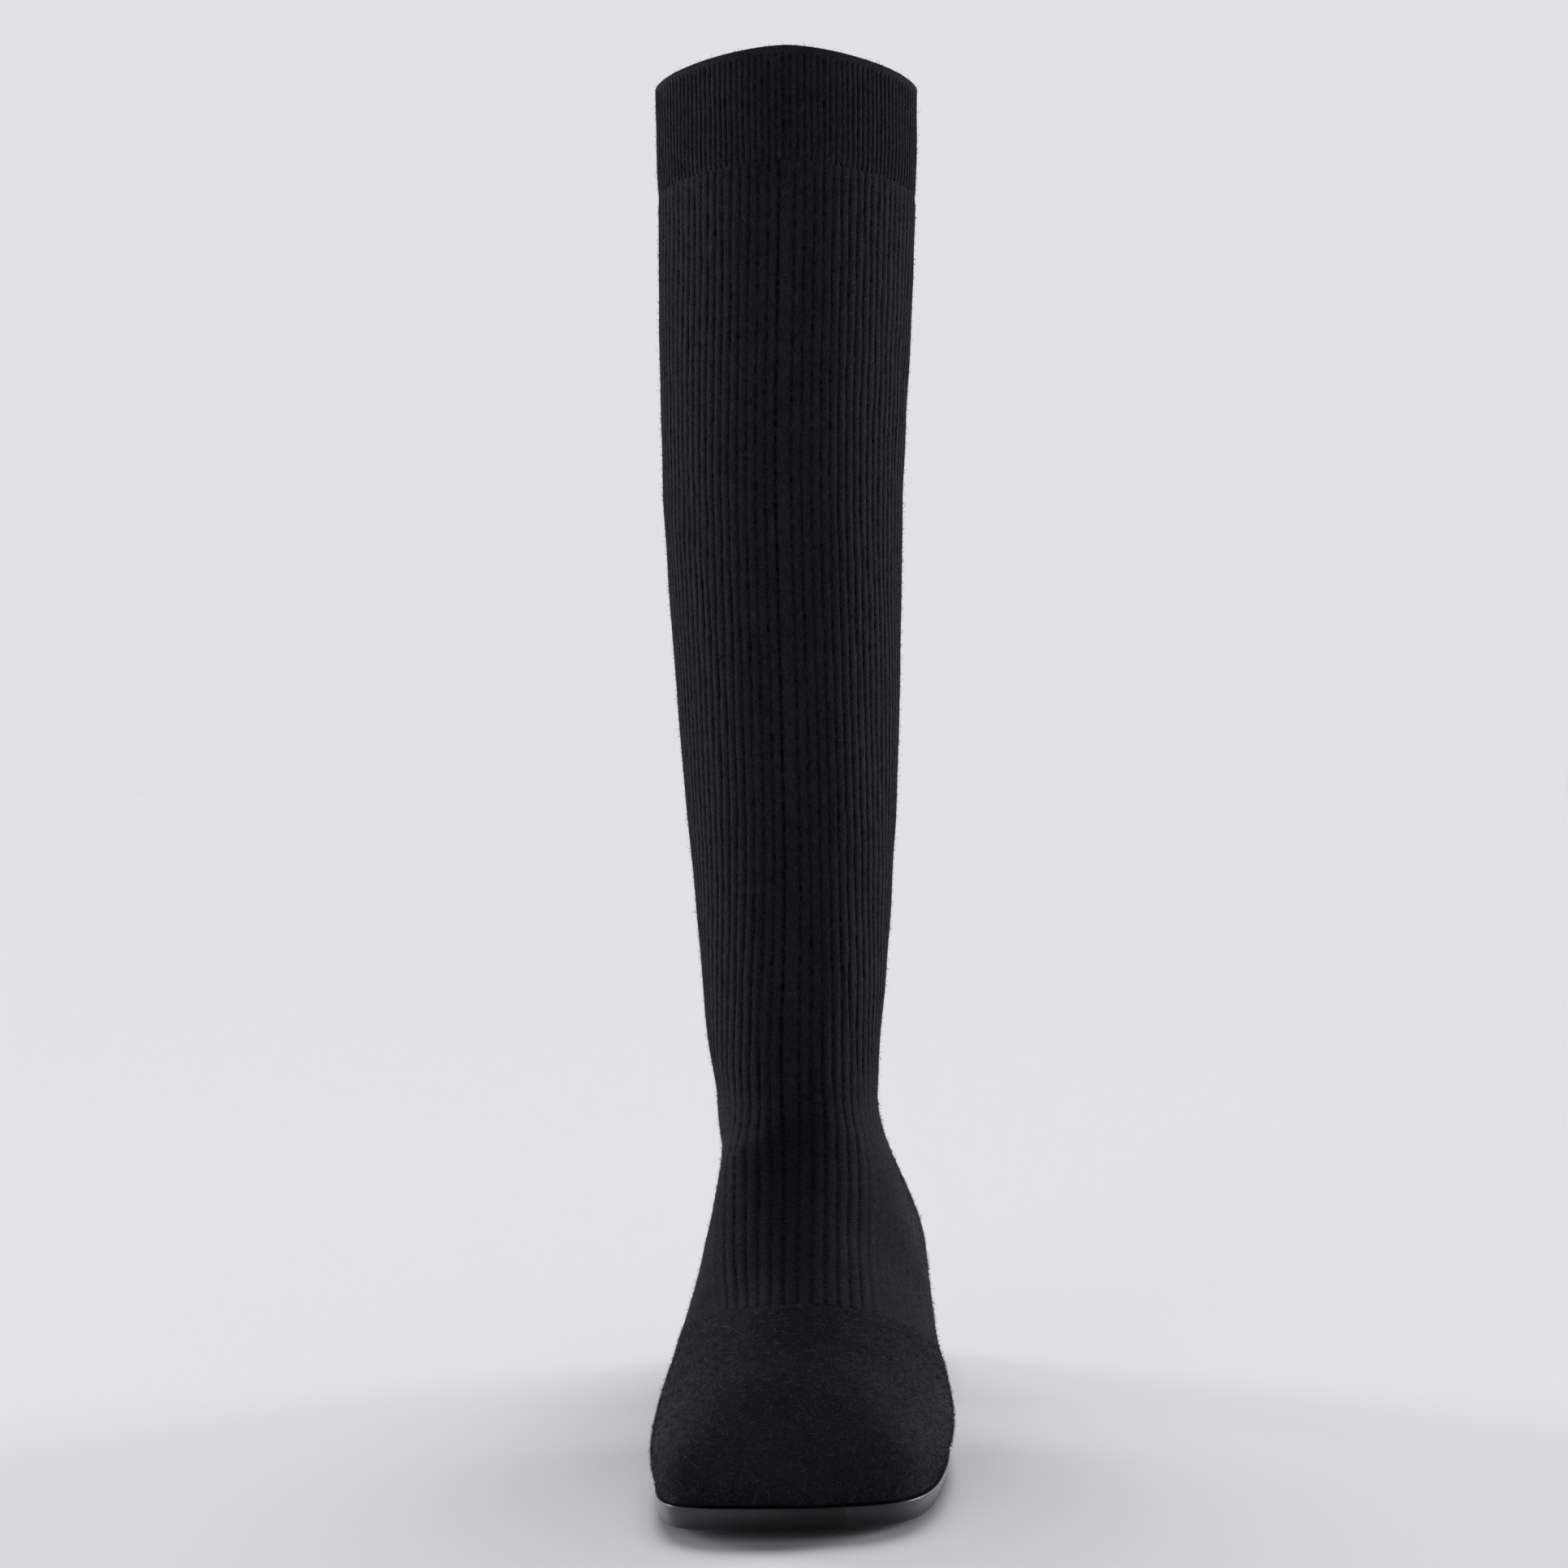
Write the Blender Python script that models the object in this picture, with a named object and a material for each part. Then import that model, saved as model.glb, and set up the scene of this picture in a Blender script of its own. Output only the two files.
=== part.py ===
"""Knitted knee-high boot for a left foot.

The toe points to -Y, up is +Z and the wearer's left, the outer side, is +X.
Pieces: hollow knitted upper, outsole, heel block, heel top piece and insole.
"""
import math
from collections import namedtuple

import bmesh
import bpy
import numpy as np

# Foot and last, in metres
FOOT_LENGTH = 0.2455     # outsole, toe to heel
BALL_WIDTH = 0.0876      # outsole across the ball
HEEL_WIDTH = 0.0600      # outsole across the heel seat
INFLARE = 0.0190         # the heel's centre lies this far outward of the toe's
HEEL_HEIGHT = 0.0200     # floor to the outsole's underside at the heel
TOE_SPRING = 0.0034      # floor to the outsole's underside at the toe
TOE_DEPTH = 0.0363       # depth of the foot above the sole behind the toes
ANKLE_RISE = 0.0713      # heel seat to the leg's lowest ring
HEEL_BULGE = 0.0026      # back of the heel behind the outsole's end
SIDE_SWELL = 0.0012      # upper's sides beyond the outsole's edge
SWELL_HEIGHT = 0.0105    # height above the sole where the sides are fullest

# Leg, in metres
BOOT_HEIGHT = 0.4425
COLLAR_WIDTH = 0.0880
COLLAR_DEPTH = 0.1000
COLLAR_POINT = 1.55      # front of the rim from above: 2 is an ellipse, 1 a point
ANKLE_WIDTH = 0.0540
ANKLE_DEPTH = 0.0840
ANKLE_FRONT = 0.1490     # bend of the ankle behind the toe
ANKLE_OFFSET = 0.0048    # ankle's centre outward of the toe's
SHAFT_LEAN = 0.0240      # collar's front edge ahead of the ankle's
CUFF_DEPTH = 0.0360
CUFF_STEP = 0.0005       # the cuff stands proud of the leg by this

# Thicknesses and seats, in metres
WALL = 0.0022
RIM_ROUND = 0.0007
SOLE_THICKNESS = 0.0064
SOLE_MARGIN = 0.0011     # outsole's edge beyond the upper's lower edge
SOLE_TAPER = 0.0012      # the outsole's underside is set in by this
SOLE_BEVEL = 0.0009
INSOLE_THICKNESS = 0.0026
INSOLE_PLAY = 0.0010     # between insole and knitted wall
HEEL_MARGIN = 0.0010     # outsole's underside beyond the heel block
HEEL_TAPER = 0.0030      # the heel block's foot is set in by this
TOP_PIECE_THICKNESS = 0.0050
GAP = 0.0003

# Places along the foot, as shares of its length from the toe
SPRING_END = 0.17
TREAD_END = 0.36
HEEL_BREAST = 0.735

# Fineness of the meshes
COLUMNS = 27             # on each side, from the front line to the back line
FOOT_RINGS = 28
LEG_RINGS = 9
CORNER_PULL = 0.012      # a turn of one radian draws in this much of a ring's points
SOLE_STATIONS = 40
HEEL_STATIONS = 16

Outline = namedtuple("Outline", "along inflare size inner outer")
Ridge = namedtuple("Ridge", "along toe ankle dome inner outer swing")
Back = namedtuple("Back", "rise inward bulge")
Leg = namedtuple("Leg", "rise width depth lean offset")

# Outsole's edge seen from above: share of the length, share of the inflare, and
# the reach to the inner and the outer side as shares of a width
OUTLINE = [
    Outline(0.000, 0.00, BALL_WIDTH, 0.230, -0.020),
    Outline(0.005, 0.00, BALL_WIDTH, 0.272, 0.098),
    Outline(0.017, 0.00, BALL_WIDTH, 0.328, 0.208),
    Outline(0.030, 0.00, BALL_WIDTH, 0.360, 0.298),
    Outline(0.050, 0.00, BALL_WIDTH, 0.384, 0.374),
    Outline(0.079, 0.00, BALL_WIDTH, 0.404, 0.434),
    Outline(0.127, 0.00, BALL_WIDTH, 0.417, 0.488),
    Outline(0.189, 0.00, BALL_WIDTH, 0.424, 0.530),
    Outline(0.266, 0.00, BALL_WIDTH, 0.422, 0.561),
    Outline(0.372, 0.00, BALL_WIDTH, 0.405, 0.568),
    Outline(0.494, 0.35, BALL_WIDTH, 0.391, 0.473),
    Outline(0.616, 0.70, HEEL_WIDTH, 0.522, 0.570),
    Outline(0.738, 0.90, HEEL_WIDTH, 0.478, 0.517),
    Outline(0.861, 1.00, HEEL_WIDTH, 0.500, 0.500),
    Outline(0.930, 1.00, HEEL_WIDTH, 0.442, 0.445),
    Outline(0.971, 1.00, HEEL_WIDTH, 0.317, 0.317),
    Outline(0.991, 1.00, HEEL_WIDTH, 0.183, 0.183),
    Outline(1.000, 1.00, HEEL_WIDTH, 0.058, 0.058),
]

# Top line of the foot: share of the way to the ankle's bend, depth as shares of
# the toe's depth and of the ankle's height, share of that depth which is domed,
# squareness of the dome's two sides, share of the way across to the ankle's centre
RIDGE = [
    Ridge(-0.004, 0.361, 0.000, 0.85, 2.4, 2.4, 0.00),
    Ridge(0.005, 0.441, 0.000, 0.85, 2.4, 2.4, 0.00),
    Ridge(0.025, 0.553, 0.000, 0.85, 2.4, 2.4, 0.00),
    Ridge(0.060, 0.672, 0.000, 0.85, 2.4, 2.4, 0.00),
    Ridge(0.105, 0.784, 0.000, 0.85, 2.4, 2.4, 0.00),
    Ridge(0.180, 0.897, 0.000, 0.88, 2.3, 2.3, 0.10),
    Ridge(0.290, 1.000, 0.000, 0.92, 2.2, 2.2, 0.20),
    Ridge(0.410, 0.950, 0.080, 0.94, 2.1, 2.1, 0.35),
    Ridge(0.545, 0.750, 0.242, 0.90, 2.1, 2.1, 0.50),
    Ridge(0.675, 0.450, 0.465, 0.76, 3.0, 2.0, 0.65),
    Ridge(0.805, 0.200, 0.676, 0.48, 3.4, 2.0, 0.80),
    Ridge(0.900, 0.050, 0.843, 0.38, 3.2, 2.0, 0.95),
    Ridge(0.960, 0.000, 0.945, 0.46, 2.3, 2.2, 1.00),
]

# Back line of the heel from the sole to the ankle: shares of the ankle's rise,
# of the way in to the ankle and of the heel's bulge
BACK = [
    Back(0.00, 0.00, -0.45),
    Back(0.08, 0.00, 0.35),
    Back(0.20, 0.00, 0.90),
    Back(0.36, 0.03, 1.00),
    Back(0.54, 0.22, 0.85),
    Back(0.72, 0.56, 0.50),
    Back(0.87, 0.85, 0.20),
    Back(1.00, 1.00, 0.00),
]

# Rings of the leg from ankle to collar: share of its height, shares of the change
# of width and of depth from ankle to collar, of the lean and of the ankle's offset
LEG = [
    Leg(0.00, 0.04, 0.00, 0.12, 0.95),
    Leg(0.06, 0.17, 0.06, -0.02, 0.72),
    Leg(0.11, 0.28, 0.25, -0.04, 0.73),
    Leg(0.21, 0.43, 0.56, 0.00, 0.67),
    Leg(0.31, 0.59, 0.88, 0.08, 0.50),
    Leg(0.41, 0.70, 1.12, 0.19, 0.30),
    Leg(0.51, 0.79, 1.25, 0.29, 0.08),
    Leg(0.61, 0.86, 1.31, 0.42, -0.06),
    Leg(0.70, 0.92, 1.31, 0.54, 0.00),
    Leg(0.80, 0.98, 1.25, 0.69, 0.12),
    Leg(0.90, 0.99, 1.12, 0.83, 0.20),
    Leg(1.00, 1.00, 1.00, 1.00, 0.15),
]

HEEL_SEAT = HEEL_HEIGHT + SOLE_THICKNESS + GAP
ANKLE_HEIGHT = HEEL_SEAT + ANKLE_RISE
SIDES = (1, -1)          # outer, inner


# Numbers along curves

def mix(a, b, share):
    return a + (b - a) * share


def ease(share):
    """Soft step from 0 to 1."""
    t = np.clip(share, 0.0, 1.0)
    return t * t * (3.0 - 2.0 * t)


def smooth(rows, steps=12):
    """Smooth curve through the rows, paced by the place in their first two columns."""
    p = np.array(rows, dtype=float)
    p = np.vstack([2 * p[0] - p[1], p, 2 * p[-1] - p[-2]])
    points = []
    for a, b, c, d in zip(p, p[1:], p[2:], p[3:]):
        ta, tb, tc = (math.sqrt(np.linalg.norm(v[:2])) for v in (b - a, c - b, d - c))
        leave = tb * ((b - a) / ta - (c - a) / (ta + tb) + (c - b) / tb)
        reach = tb * ((c - b) / tb - (d - b) / (tb + tc) + (d - c) / tc)
        for t in np.arange(steps) / steps:
            start = 2 * t**3 - 3 * t**2 + 1
            points.append(
                start * b
                + (1 - start) * c
                + (t**3 - 2 * t**2 + t) * leave
                + (t**3 - t**2) * reach
            )
    points.append(p[-2])
    return np.array(points)


def spread(points, count, turn_weight):
    """Even points along a line, closer together where it turns."""
    step = np.diff(points, axis=0)
    length = np.linalg.norm(step, axis=1)
    keep = length > 1e-9
    heading = step[keep] / length[keep][:, None]
    cosine = np.clip((heading[1:] * heading[:-1]).sum(1), -1.0, 1.0)
    turn = np.concatenate([[0.0], np.arccos(cosine)])
    travel = np.concatenate([[0.0], np.cumsum(length[keep] + turn_weight * turn)])
    line = points[np.concatenate([[True], keep])]
    at = np.linspace(0.0, travel[-1], count)
    return np.stack([np.interp(at, travel, column) for column in line.T], axis=1)


# Sole seen from the side and from above

def underside(y):
    """Height of the outsole's underside at a distance behind the toe."""
    spring = TOE_SPRING * np.clip(1.0 - y / (SPRING_END * FOOT_LENGTH), 0.0, 1.0) ** 2
    rise = (y / FOOT_LENGTH - TREAD_END) / (HEEL_BREAST - TREAD_END)
    return spring + HEEL_HEIGHT * ease(rise)


def feather(y):
    """Height of the upper's lower edge."""
    return underside(np.clip(y, 0.0, FOOT_LENGTH)) + SOLE_THICKNESS + GAP


def outline_side(side):
    """Outsole's edge on one side: distance behind the toe, place across."""
    rows = []
    for r in OUTLINE:
        reach = r.outer if side > 0 else r.inner
        rows.append((r.along * FOOT_LENGTH, r.inflare * INFLARE + side * reach * r.size))
    return smooth(rows)


EDGE = {side: outline_side(side) for side in SIDES}


def edge(side, share, grow=0.0):
    """Place across of the outline at a share of its length, grown all round."""
    y = share * FOOT_LENGTH
    inner = np.interp(y, *EDGE[-1].T)
    outer = np.interp(y, *EDGE[1].T)
    to_heel = ease((share - TREAD_END) / (HEEL_BREAST - TREAD_END))
    local = mix(BALL_WIDTH, HEEL_WIDTH, to_heel) / 2.0
    half = (outer - inner) / 2.0 * (1.0 + grow / local)
    return (inner + outer) / 2.0 + side * half


def behind(share, grow=0.0):
    """Distance behind the toe of a share of the grown outline."""
    return share * (FOOT_LENGTH + 2.0 * grow) - grow


# Upper seen from the side

def swell(height):
    """How far the upper stands beyond the outsole's edge, by height above it."""
    fullness = np.sin(np.clip(height / SWELL_HEIGHT, 0.0, 1.0) * math.pi / 2.0)
    return mix(-SOLE_MARGIN, SIDE_SWELL, fullness)


def leg_table():
    """Height, half width, half depth, front and centre up the leg."""
    rows = []
    for r in LEG:
        rows.append((
            mix(ANKLE_HEIGHT, BOOT_HEIGHT, r.rise),
            mix(ANKLE_WIDTH, COLLAR_WIDTH, r.width) / 2.0,
            mix(ANKLE_DEPTH, COLLAR_DEPTH, r.depth) / 2.0,
            ANKLE_FRONT - SHAFT_LEAN * r.lean,
            ANKLE_OFFSET * r.offset,
        ))
    return smooth(rows)


LEG_LINE = leg_table()


def leg_at(z):
    """Half width, half depth, front and centre of the leg at a height."""
    return [np.interp(z, LEG_LINE[:, 0], LEG_LINE[:, i]) for i in (1, 2, 3, 4)]


def back_table():
    """Height and distance behind the toe of the heel's back."""
    ankle = leg_at(ANKLE_HEIGHT)
    ankle_back = ankle[2] + 2.0 * ankle[1]
    rows = []
    for r in BACK:
        y = mix(FOOT_LENGTH, ankle_back, r.inward) + HEEL_BULGE * r.bulge
        rows.append((y, mix(HEEL_SEAT, ANKLE_HEIGHT, r.rise)))
    return smooth(rows)


BACK_LINE = back_table()


def back_at(z):
    """Distance behind the toe of the upper's back at a height."""
    heel = np.interp(z, BACK_LINE[:, 1], BACK_LINE[:, 0])
    _, half_depth, front, _ = leg_at(z)
    return np.where(z > ANKLE_HEIGHT, front + 2.0 * half_depth, heel)


def ridge_rows():
    """Foot's top line: behind the toe, height, dome's depth, squareness, place across."""
    rows = []
    for r in RIDGE:
        y = r.along * ANKLE_FRONT
        depth = r.toe * TOE_DEPTH + r.ankle * (ANKLE_HEIGHT - feather(y))
        middle = (edge(1, y / FOOT_LENGTH) + edge(-1, y / FOOT_LENGTH)) / 2.0
        across = mix(middle, ANKLE_OFFSET, r.swing)
        rows.append((y, feather(y) + depth, r.dome * depth, r.inner, r.outer, across))
    return rows


def leg_rows():
    """The leg's front, as rows of the top line."""
    rows = []
    for share in np.linspace(0.0, 1.0, 2 * len(LEG)):
        z = mix(ANKLE_HEIGHT, BOOT_HEIGHT, share)
        half_width, half_depth, front, centre = leg_at(z)
        square = mix(2.0, COLLAR_POINT, share)
        rows.append((front, z, half_depth, square, square, centre))
    return rows


def top_line():
    """Dense top line, carried on level ahead of the toe and up past the collar."""
    rows = ridge_rows() + leg_rows()
    ahead = np.array(rows[0])
    ahead[0] -= TOE_DEPTH
    above = np.array(rows[-1])
    above[1] += CUFF_DEPTH
    return np.vstack([ahead, smooth(rows, 8), above])


TOP_LINE = top_line()
TOP_START = TOP_LINE[:-1, :2]
TOP_RUN = np.linalg.norm(np.diff(TOP_LINE[:, :2], axis=0), axis=1)
TOP_WAY = np.diff(TOP_LINE[:, :2], axis=0) / TOP_RUN[:, None]
TOP_TRAVEL = np.concatenate([[0.0], np.cumsum(TOP_RUN)])


def below_top(y, z):
    """Soft distance from the top line, and the line's own values beside that place.

    Each stretch of the line counts by the fourth power of its nearness, so that
    the distance stays smooth in hollows and on bends.
    """
    offset = np.stack([y, z], axis=1)[:, None] - TOP_START
    along = (offset * TOP_WAY).sum(2)
    aside = np.abs(offset[..., 0] * TOP_WAY[:, 1] - offset[..., 1] * TOP_WAY[:, 0])
    aside = np.maximum(aside, 1e-5)
    weight = 0.0
    moment = 0.0
    for s, sign in ((TOP_RUN - along, 1), (-along, -1)):
        square = aside**2 + s**2
        weight += sign * (s / (aside**2 * square) + np.arctan(s / aside) / aside**3) / 2.0
        moment -= sign / square / 2.0
    total = weight.sum(1)
    place = ((TOP_TRAVEL[:-1] + along) * weight + moment).sum(1) / total
    values = [np.interp(place, TOP_TRAVEL, column) for column in TOP_LINE.T[2:]]
    return (total * 2.0 / math.pi) ** (-1.0 / 3.0), values


# Upper's surface

def foot_side(side, y, z):
    """Foot's full width on one side, from the outsole's outline."""
    grow = swell(z - feather(y))
    start = -swell(z - feather(0.0))
    share = (y - start) / (back_at(np.minimum(z, ANKLE_HEIGHT)) - start)
    return edge(side, np.clip(share, 0.0, 1.0), grow)


def leg_side(side, y, z):
    """Leg's oval on one side; its front half is rounded by the dome."""
    half_width, half_depth, _, centre = leg_at(z)
    behind_middle = (y - back_at(z) + half_depth) / half_depth
    rounding = np.sqrt(1.0 - np.clip(behind_middle, 0.0, 1.0) ** 2)
    return centre + side * half_width * rounding


def upper_side(side, y, z):
    """Place across of the upper's outer face."""
    low = feather(y) + SWELL_HEIGHT
    share = ease((z - low) / (ANKLE_HEIGHT - low))
    full = mix(foot_side(side, y, z), leg_side(side, y, z), share)
    depth, (dome, inner, outer, across) = below_top(y, z)
    square = outer if side > 0 else inner
    left = 1.0 - np.clip(depth / dome, 0.0, 1.0)
    return mix(across, full, (1.0 - left**square) ** (1.0 / square))


def ring(front, back, droop):
    """Closed ring of the upper from its front point round its back point."""
    share = (1.0 - np.cos(np.linspace(0.05, math.pi, 160))) / 2.0
    y = mix(front[0], back[0], share)
    sole = feather(y) - mix(feather(front[0]), feather(back[0]), share)
    z = mix(front[1], back[1], share) + droop * sole
    x = {side: upper_side(side, y, z) for side in SIDES}
    middle = (x[1] + x[-1]) / 2.0
    halves = []
    for side in SIDES:
        line = np.stack([x[side], y, z], axis=1)
        first = (below_top(*np.transpose([front]))[1][3][0], *front)
        last = (middle[-1], y[-1], z[-1])
        halves.append(spread(np.vstack([first, line, last]), COLUMNS + 1, CORNER_PULL))
    outer, inner = halves
    return np.vstack([outer, inner[-2:0:-1]])


def foot_rings():
    """Rings from the lower edge up to the ankle."""
    wall = [(-swell(h), feather(0.0) + h) for h in SWELL_HEIGHT * np.linspace(0.0, 1.0, 4)]
    top = TOP_LINE[1:, :2]
    top = top[top[:, 1] <= ANKLE_HEIGHT]
    fronts = spread(np.vstack([smooth(wall), top]), FOOT_RINGS + 1, CORNER_PULL)
    backs = spread(BACK_LINE, FOOT_RINGS + 1, 0.0)
    backs[0, 0] = FOOT_LENGTH - SOLE_MARGIN
    rings = []
    for number, (front, back) in enumerate(zip(fronts, backs)):
        rings.append(ring(front, back, 1.0 - number / FOOT_RINGS))
    return rings


def leg_rings():
    """Rings above the ankle, with a pair at the cuff's lower edge."""
    cuff = BOOT_HEIGHT - CUFF_DEPTH
    heights = list(np.linspace(ANKLE_HEIGHT, cuff, LEG_RINGS)[1:])
    heights += [cuff + CUFF_STEP, mix(cuff, BOOT_HEIGHT, 0.5), BOOT_HEIGHT - RIM_ROUND]
    rings = []
    for z in heights:
        front = np.interp(z, TOP_LINE[:, 1], TOP_LINE[:, 0])
        rings.append(ring((front, z), (back_at(z), z), 0.0))
    return rings


def normals_of(rings):
    """Outward directions on a tube of rings."""
    around = np.roll(rings, -1, axis=1) - np.roll(rings, 1, axis=1)
    upward = np.gradient(rings, axis=0)
    normal = np.cross(around, upward)
    return normal / np.linalg.norm(normal, axis=2, keepdims=True)


def upper_rings():
    """Outer face, rim and inner face, as one run of rings."""
    outer = np.array(foot_rings() + leg_rings())
    normal = normals_of(outer)
    inner = outer - WALL * normal
    inner[0, :, 2] = feather(inner[0, :, 1])
    inner[-1, :, 2] = outer[-1, :, 2]
    cuff = slice(len(outer) - 3, len(outer))
    outer[cuff] += CUFF_STEP * normal[cuff]
    rim = (outer[-1] + inner[-1]) / 2.0
    rim[:, 2] += RIM_ROUND
    return list(outer) + [rim] + list(inner[::-1])


# Meshes

def sheet(rings, closed_run):
    """Mesh through closed rings; a closed run joins the last ring to the first."""
    rings = [np.vstack([r, r[:1]]) for r in rings]
    if closed_run:
        rings.append(rings[0])
    bm = bmesh.new()
    bmesh.ops.create_grid(bm, x_segments=len(rings[0]) - 1, y_segments=len(rings) - 1, size=1.0)
    for vertex, place in zip(bm.verts, np.vstack(rings)):
        vertex.co = (place[0], place[1], place[2])
    bmesh.ops.remove_doubles(bm, verts=bm.verts, dist=1e-6)
    if not closed_run:
        open_edges = [e for e in bm.edges if e.is_boundary]
        bmesh.ops.holes_fill(bm, edges=open_edges, sides=0)
    bmesh.ops.triangulate(bm, faces=bm.faces, quad_method="SHORT_EDGE")
    bmesh.ops.recalc_face_normals(bm, faces=bm.faces)
    return bm


def finish(name):
    """Principled material of one piece."""
    colour, roughness = FINISHES[name]
    material = bpy.data.materials.new(name)
    material.use_nodes = True
    shader = material.node_tree.nodes["Principled BSDF"]
    shader.inputs["Base Color"].default_value = (*colour, 1.0)
    shader.inputs["Roughness"].default_value = roughness
    shader.inputs["Metallic"].default_value = 0.0
    return material


FINISHES = {
    "upper": ((0.0075, 0.0072, 0.0105), 0.90),
    "outsole": ((0.012, 0.012, 0.013), 0.38),
    "heel_block": ((0.010, 0.010, 0.011), 0.35),
    "heel_top_piece": ((0.014, 0.014, 0.014), 0.65),
    "insole": ((0.050, 0.047, 0.045), 0.70),
}


def add_piece(name, bm):
    """Turn a mesh into the named object."""
    mesh = bpy.data.meshes.new(name)
    bm.to_mesh(mesh)
    bm.free()
    mesh.shade_smooth()
    mesh.set_sharp_from_angle(angle=math.radians(40.0))
    piece = bpy.data.objects.new(name, mesh)
    piece.data.materials.append(finish(name))
    bpy.context.scene.collection.objects.link(piece)
    return piece


# Pieces

def make_upper():
    return add_piece("upper", sheet(upper_rings(), closed_run=True))


def sole_shares(count):
    """Shares of the length, closer together at the toe and the heel."""
    return (1.0 - np.cos(np.linspace(0.0, math.pi, count))) / 2.0


def band(share, levels):
    """Section across the sole; levels give how far each is set in, and its height."""
    points = []
    for side, run in ((1, levels), (-1, levels[::-1])):
        for grow, height in run:
            y = behind(share, grow)
            points.append((edge(side, share, grow), y, height(y)))
    return np.array(points)


def make_outsole():
    levels = [
        (0.0, lambda y: underside(y) + SOLE_THICKNESS),
        (-SOLE_TAPER, lambda y: underside(y) + SOLE_BEVEL),
        (-SOLE_TAPER - SOLE_BEVEL, underside),
    ]
    rings = [band(share, levels) for share in sole_shares(SOLE_STATIONS)]
    return add_piece("outsole", sheet(rings, closed_run=False))


def make_insole():
    inset = -(SOLE_MARGIN + WALL + INSOLE_PLAY)
    levels = [(inset, lambda y: feather(y) + INSOLE_THICKNESS), (inset, feather)]
    rings = [band(share, levels) for share in sole_shares(SOLE_STATIONS)]
    return add_piece("insole", sheet(rings, closed_run=False))


def heel_ring(grow, height):
    """Outline of the heel at a height: straight at the breast, round behind."""
    turn = np.sin(np.linspace(0.0, math.pi / 2.0, HEEL_STATIONS))
    shares = mix(HEEL_BREAST, 1.0, turn)
    sides = []
    for side in SIDES:
        sides.append(np.stack([
            edge(side, shares, grow),
            behind(shares, grow) - grow * (1.0 - turn),
            np.full(len(shares), height),
        ], axis=1))
    return np.vstack([sides[0], sides[1][::-1]])


def make_heel(name, foot, top):
    """Solid between two heel outlines, each given as inset and height."""
    return add_piece(name, sheet([heel_ring(*foot), heel_ring(*top)], closed_run=False))


def make_heel_pieces():
    seat = -(SOLE_TAPER + SOLE_BEVEL + HEEL_MARGIN)
    foot = seat - HEEL_TAPER
    make_heel(
        "heel_block",
        (foot, TOP_PIECE_THICKNESS + GAP),
        (seat, HEEL_HEIGHT - GAP),
    )
    make_heel("heel_top_piece", (foot, 0.0), (foot, TOP_PIECE_THICKNESS))


def centre_over_origin():
    """Move all pieces so that the boot's box stands centred on the origin."""
    pieces = [o for o in bpy.context.scene.objects if o.type == "MESH"]
    points = np.array([v.co for o in pieces for v in o.data.vertices])
    middle = (points.min(axis=0) + points.max(axis=0)) / 2.0
    for piece in pieces:
        piece.location = (-middle[0], -middle[1], -points[:, 2].min())


def build():
    for old in list(bpy.data.objects):
        bpy.data.objects.remove(old)
    make_upper()
    make_outsole()
    make_insole()
    make_heel_pieces()
    centre_over_origin()


build()
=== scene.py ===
"""Black knitted sweater boot: ribbed shaft and cuff, felted toe, thin sole, low heel."""
import math
from collections import namedtuple

import bmesh
import bpy
import numpy as np
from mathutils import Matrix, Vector


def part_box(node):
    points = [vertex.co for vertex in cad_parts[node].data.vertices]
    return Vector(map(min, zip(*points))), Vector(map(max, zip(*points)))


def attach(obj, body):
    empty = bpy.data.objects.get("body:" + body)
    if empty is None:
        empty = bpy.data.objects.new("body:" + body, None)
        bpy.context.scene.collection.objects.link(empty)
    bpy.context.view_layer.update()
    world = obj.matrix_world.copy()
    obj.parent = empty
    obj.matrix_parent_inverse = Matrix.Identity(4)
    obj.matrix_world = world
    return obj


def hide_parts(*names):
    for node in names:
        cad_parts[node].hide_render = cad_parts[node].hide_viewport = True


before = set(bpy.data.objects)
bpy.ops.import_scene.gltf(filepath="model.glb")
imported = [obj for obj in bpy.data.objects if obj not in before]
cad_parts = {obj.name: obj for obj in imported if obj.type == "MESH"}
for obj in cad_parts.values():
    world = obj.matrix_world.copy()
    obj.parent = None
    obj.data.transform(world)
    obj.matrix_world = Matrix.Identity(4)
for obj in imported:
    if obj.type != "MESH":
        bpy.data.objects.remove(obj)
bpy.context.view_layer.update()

# The last's sizes, in metres
FOOT_LENGTH = 0.2455
BALL_WIDTH = 0.0876
HEEL_WIDTH = 0.0600
INFLARE = 0.0190
HEEL_HEIGHT = 0.0200
TOE_SPRING = 0.0034
TOE_DEPTH = 0.0363
ANKLE_RISE = 0.0713
HEEL_BULGE = 0.0026
SIDE_SWELL = 0.0012
SWELL_HEIGHT = 0.0105
BOOT_HEIGHT = 0.4425
COLLAR_WIDTH = 0.0880
COLLAR_DEPTH = 0.1000
COLLAR_POINT = 1.55
ANKLE_WIDTH = 0.0540
ANKLE_DEPTH = 0.0840
ANKLE_FRONT = 0.1490
ANKLE_OFFSET = 0.0048
SHAFT_LEAN = 0.0240
CUFF_DEPTH = 0.0360
CUFF_STEP = 0.0005
WALL = 0.0022
SOLE_THICKNESS = 0.0064
SOLE_MARGIN = 0.0011
SOLE_TAPER = 0.0012
SOLE_BEVEL = 0.0009
HEEL_MARGIN = 0.0010
HEEL_TAPER = 0.0030
TOP_PIECE_THICKNESS = 0.0050
GAP = 0.0003
SPRING_END = 0.17
TREAD_END = 0.36
HEEL_BREAST = 0.735

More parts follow.
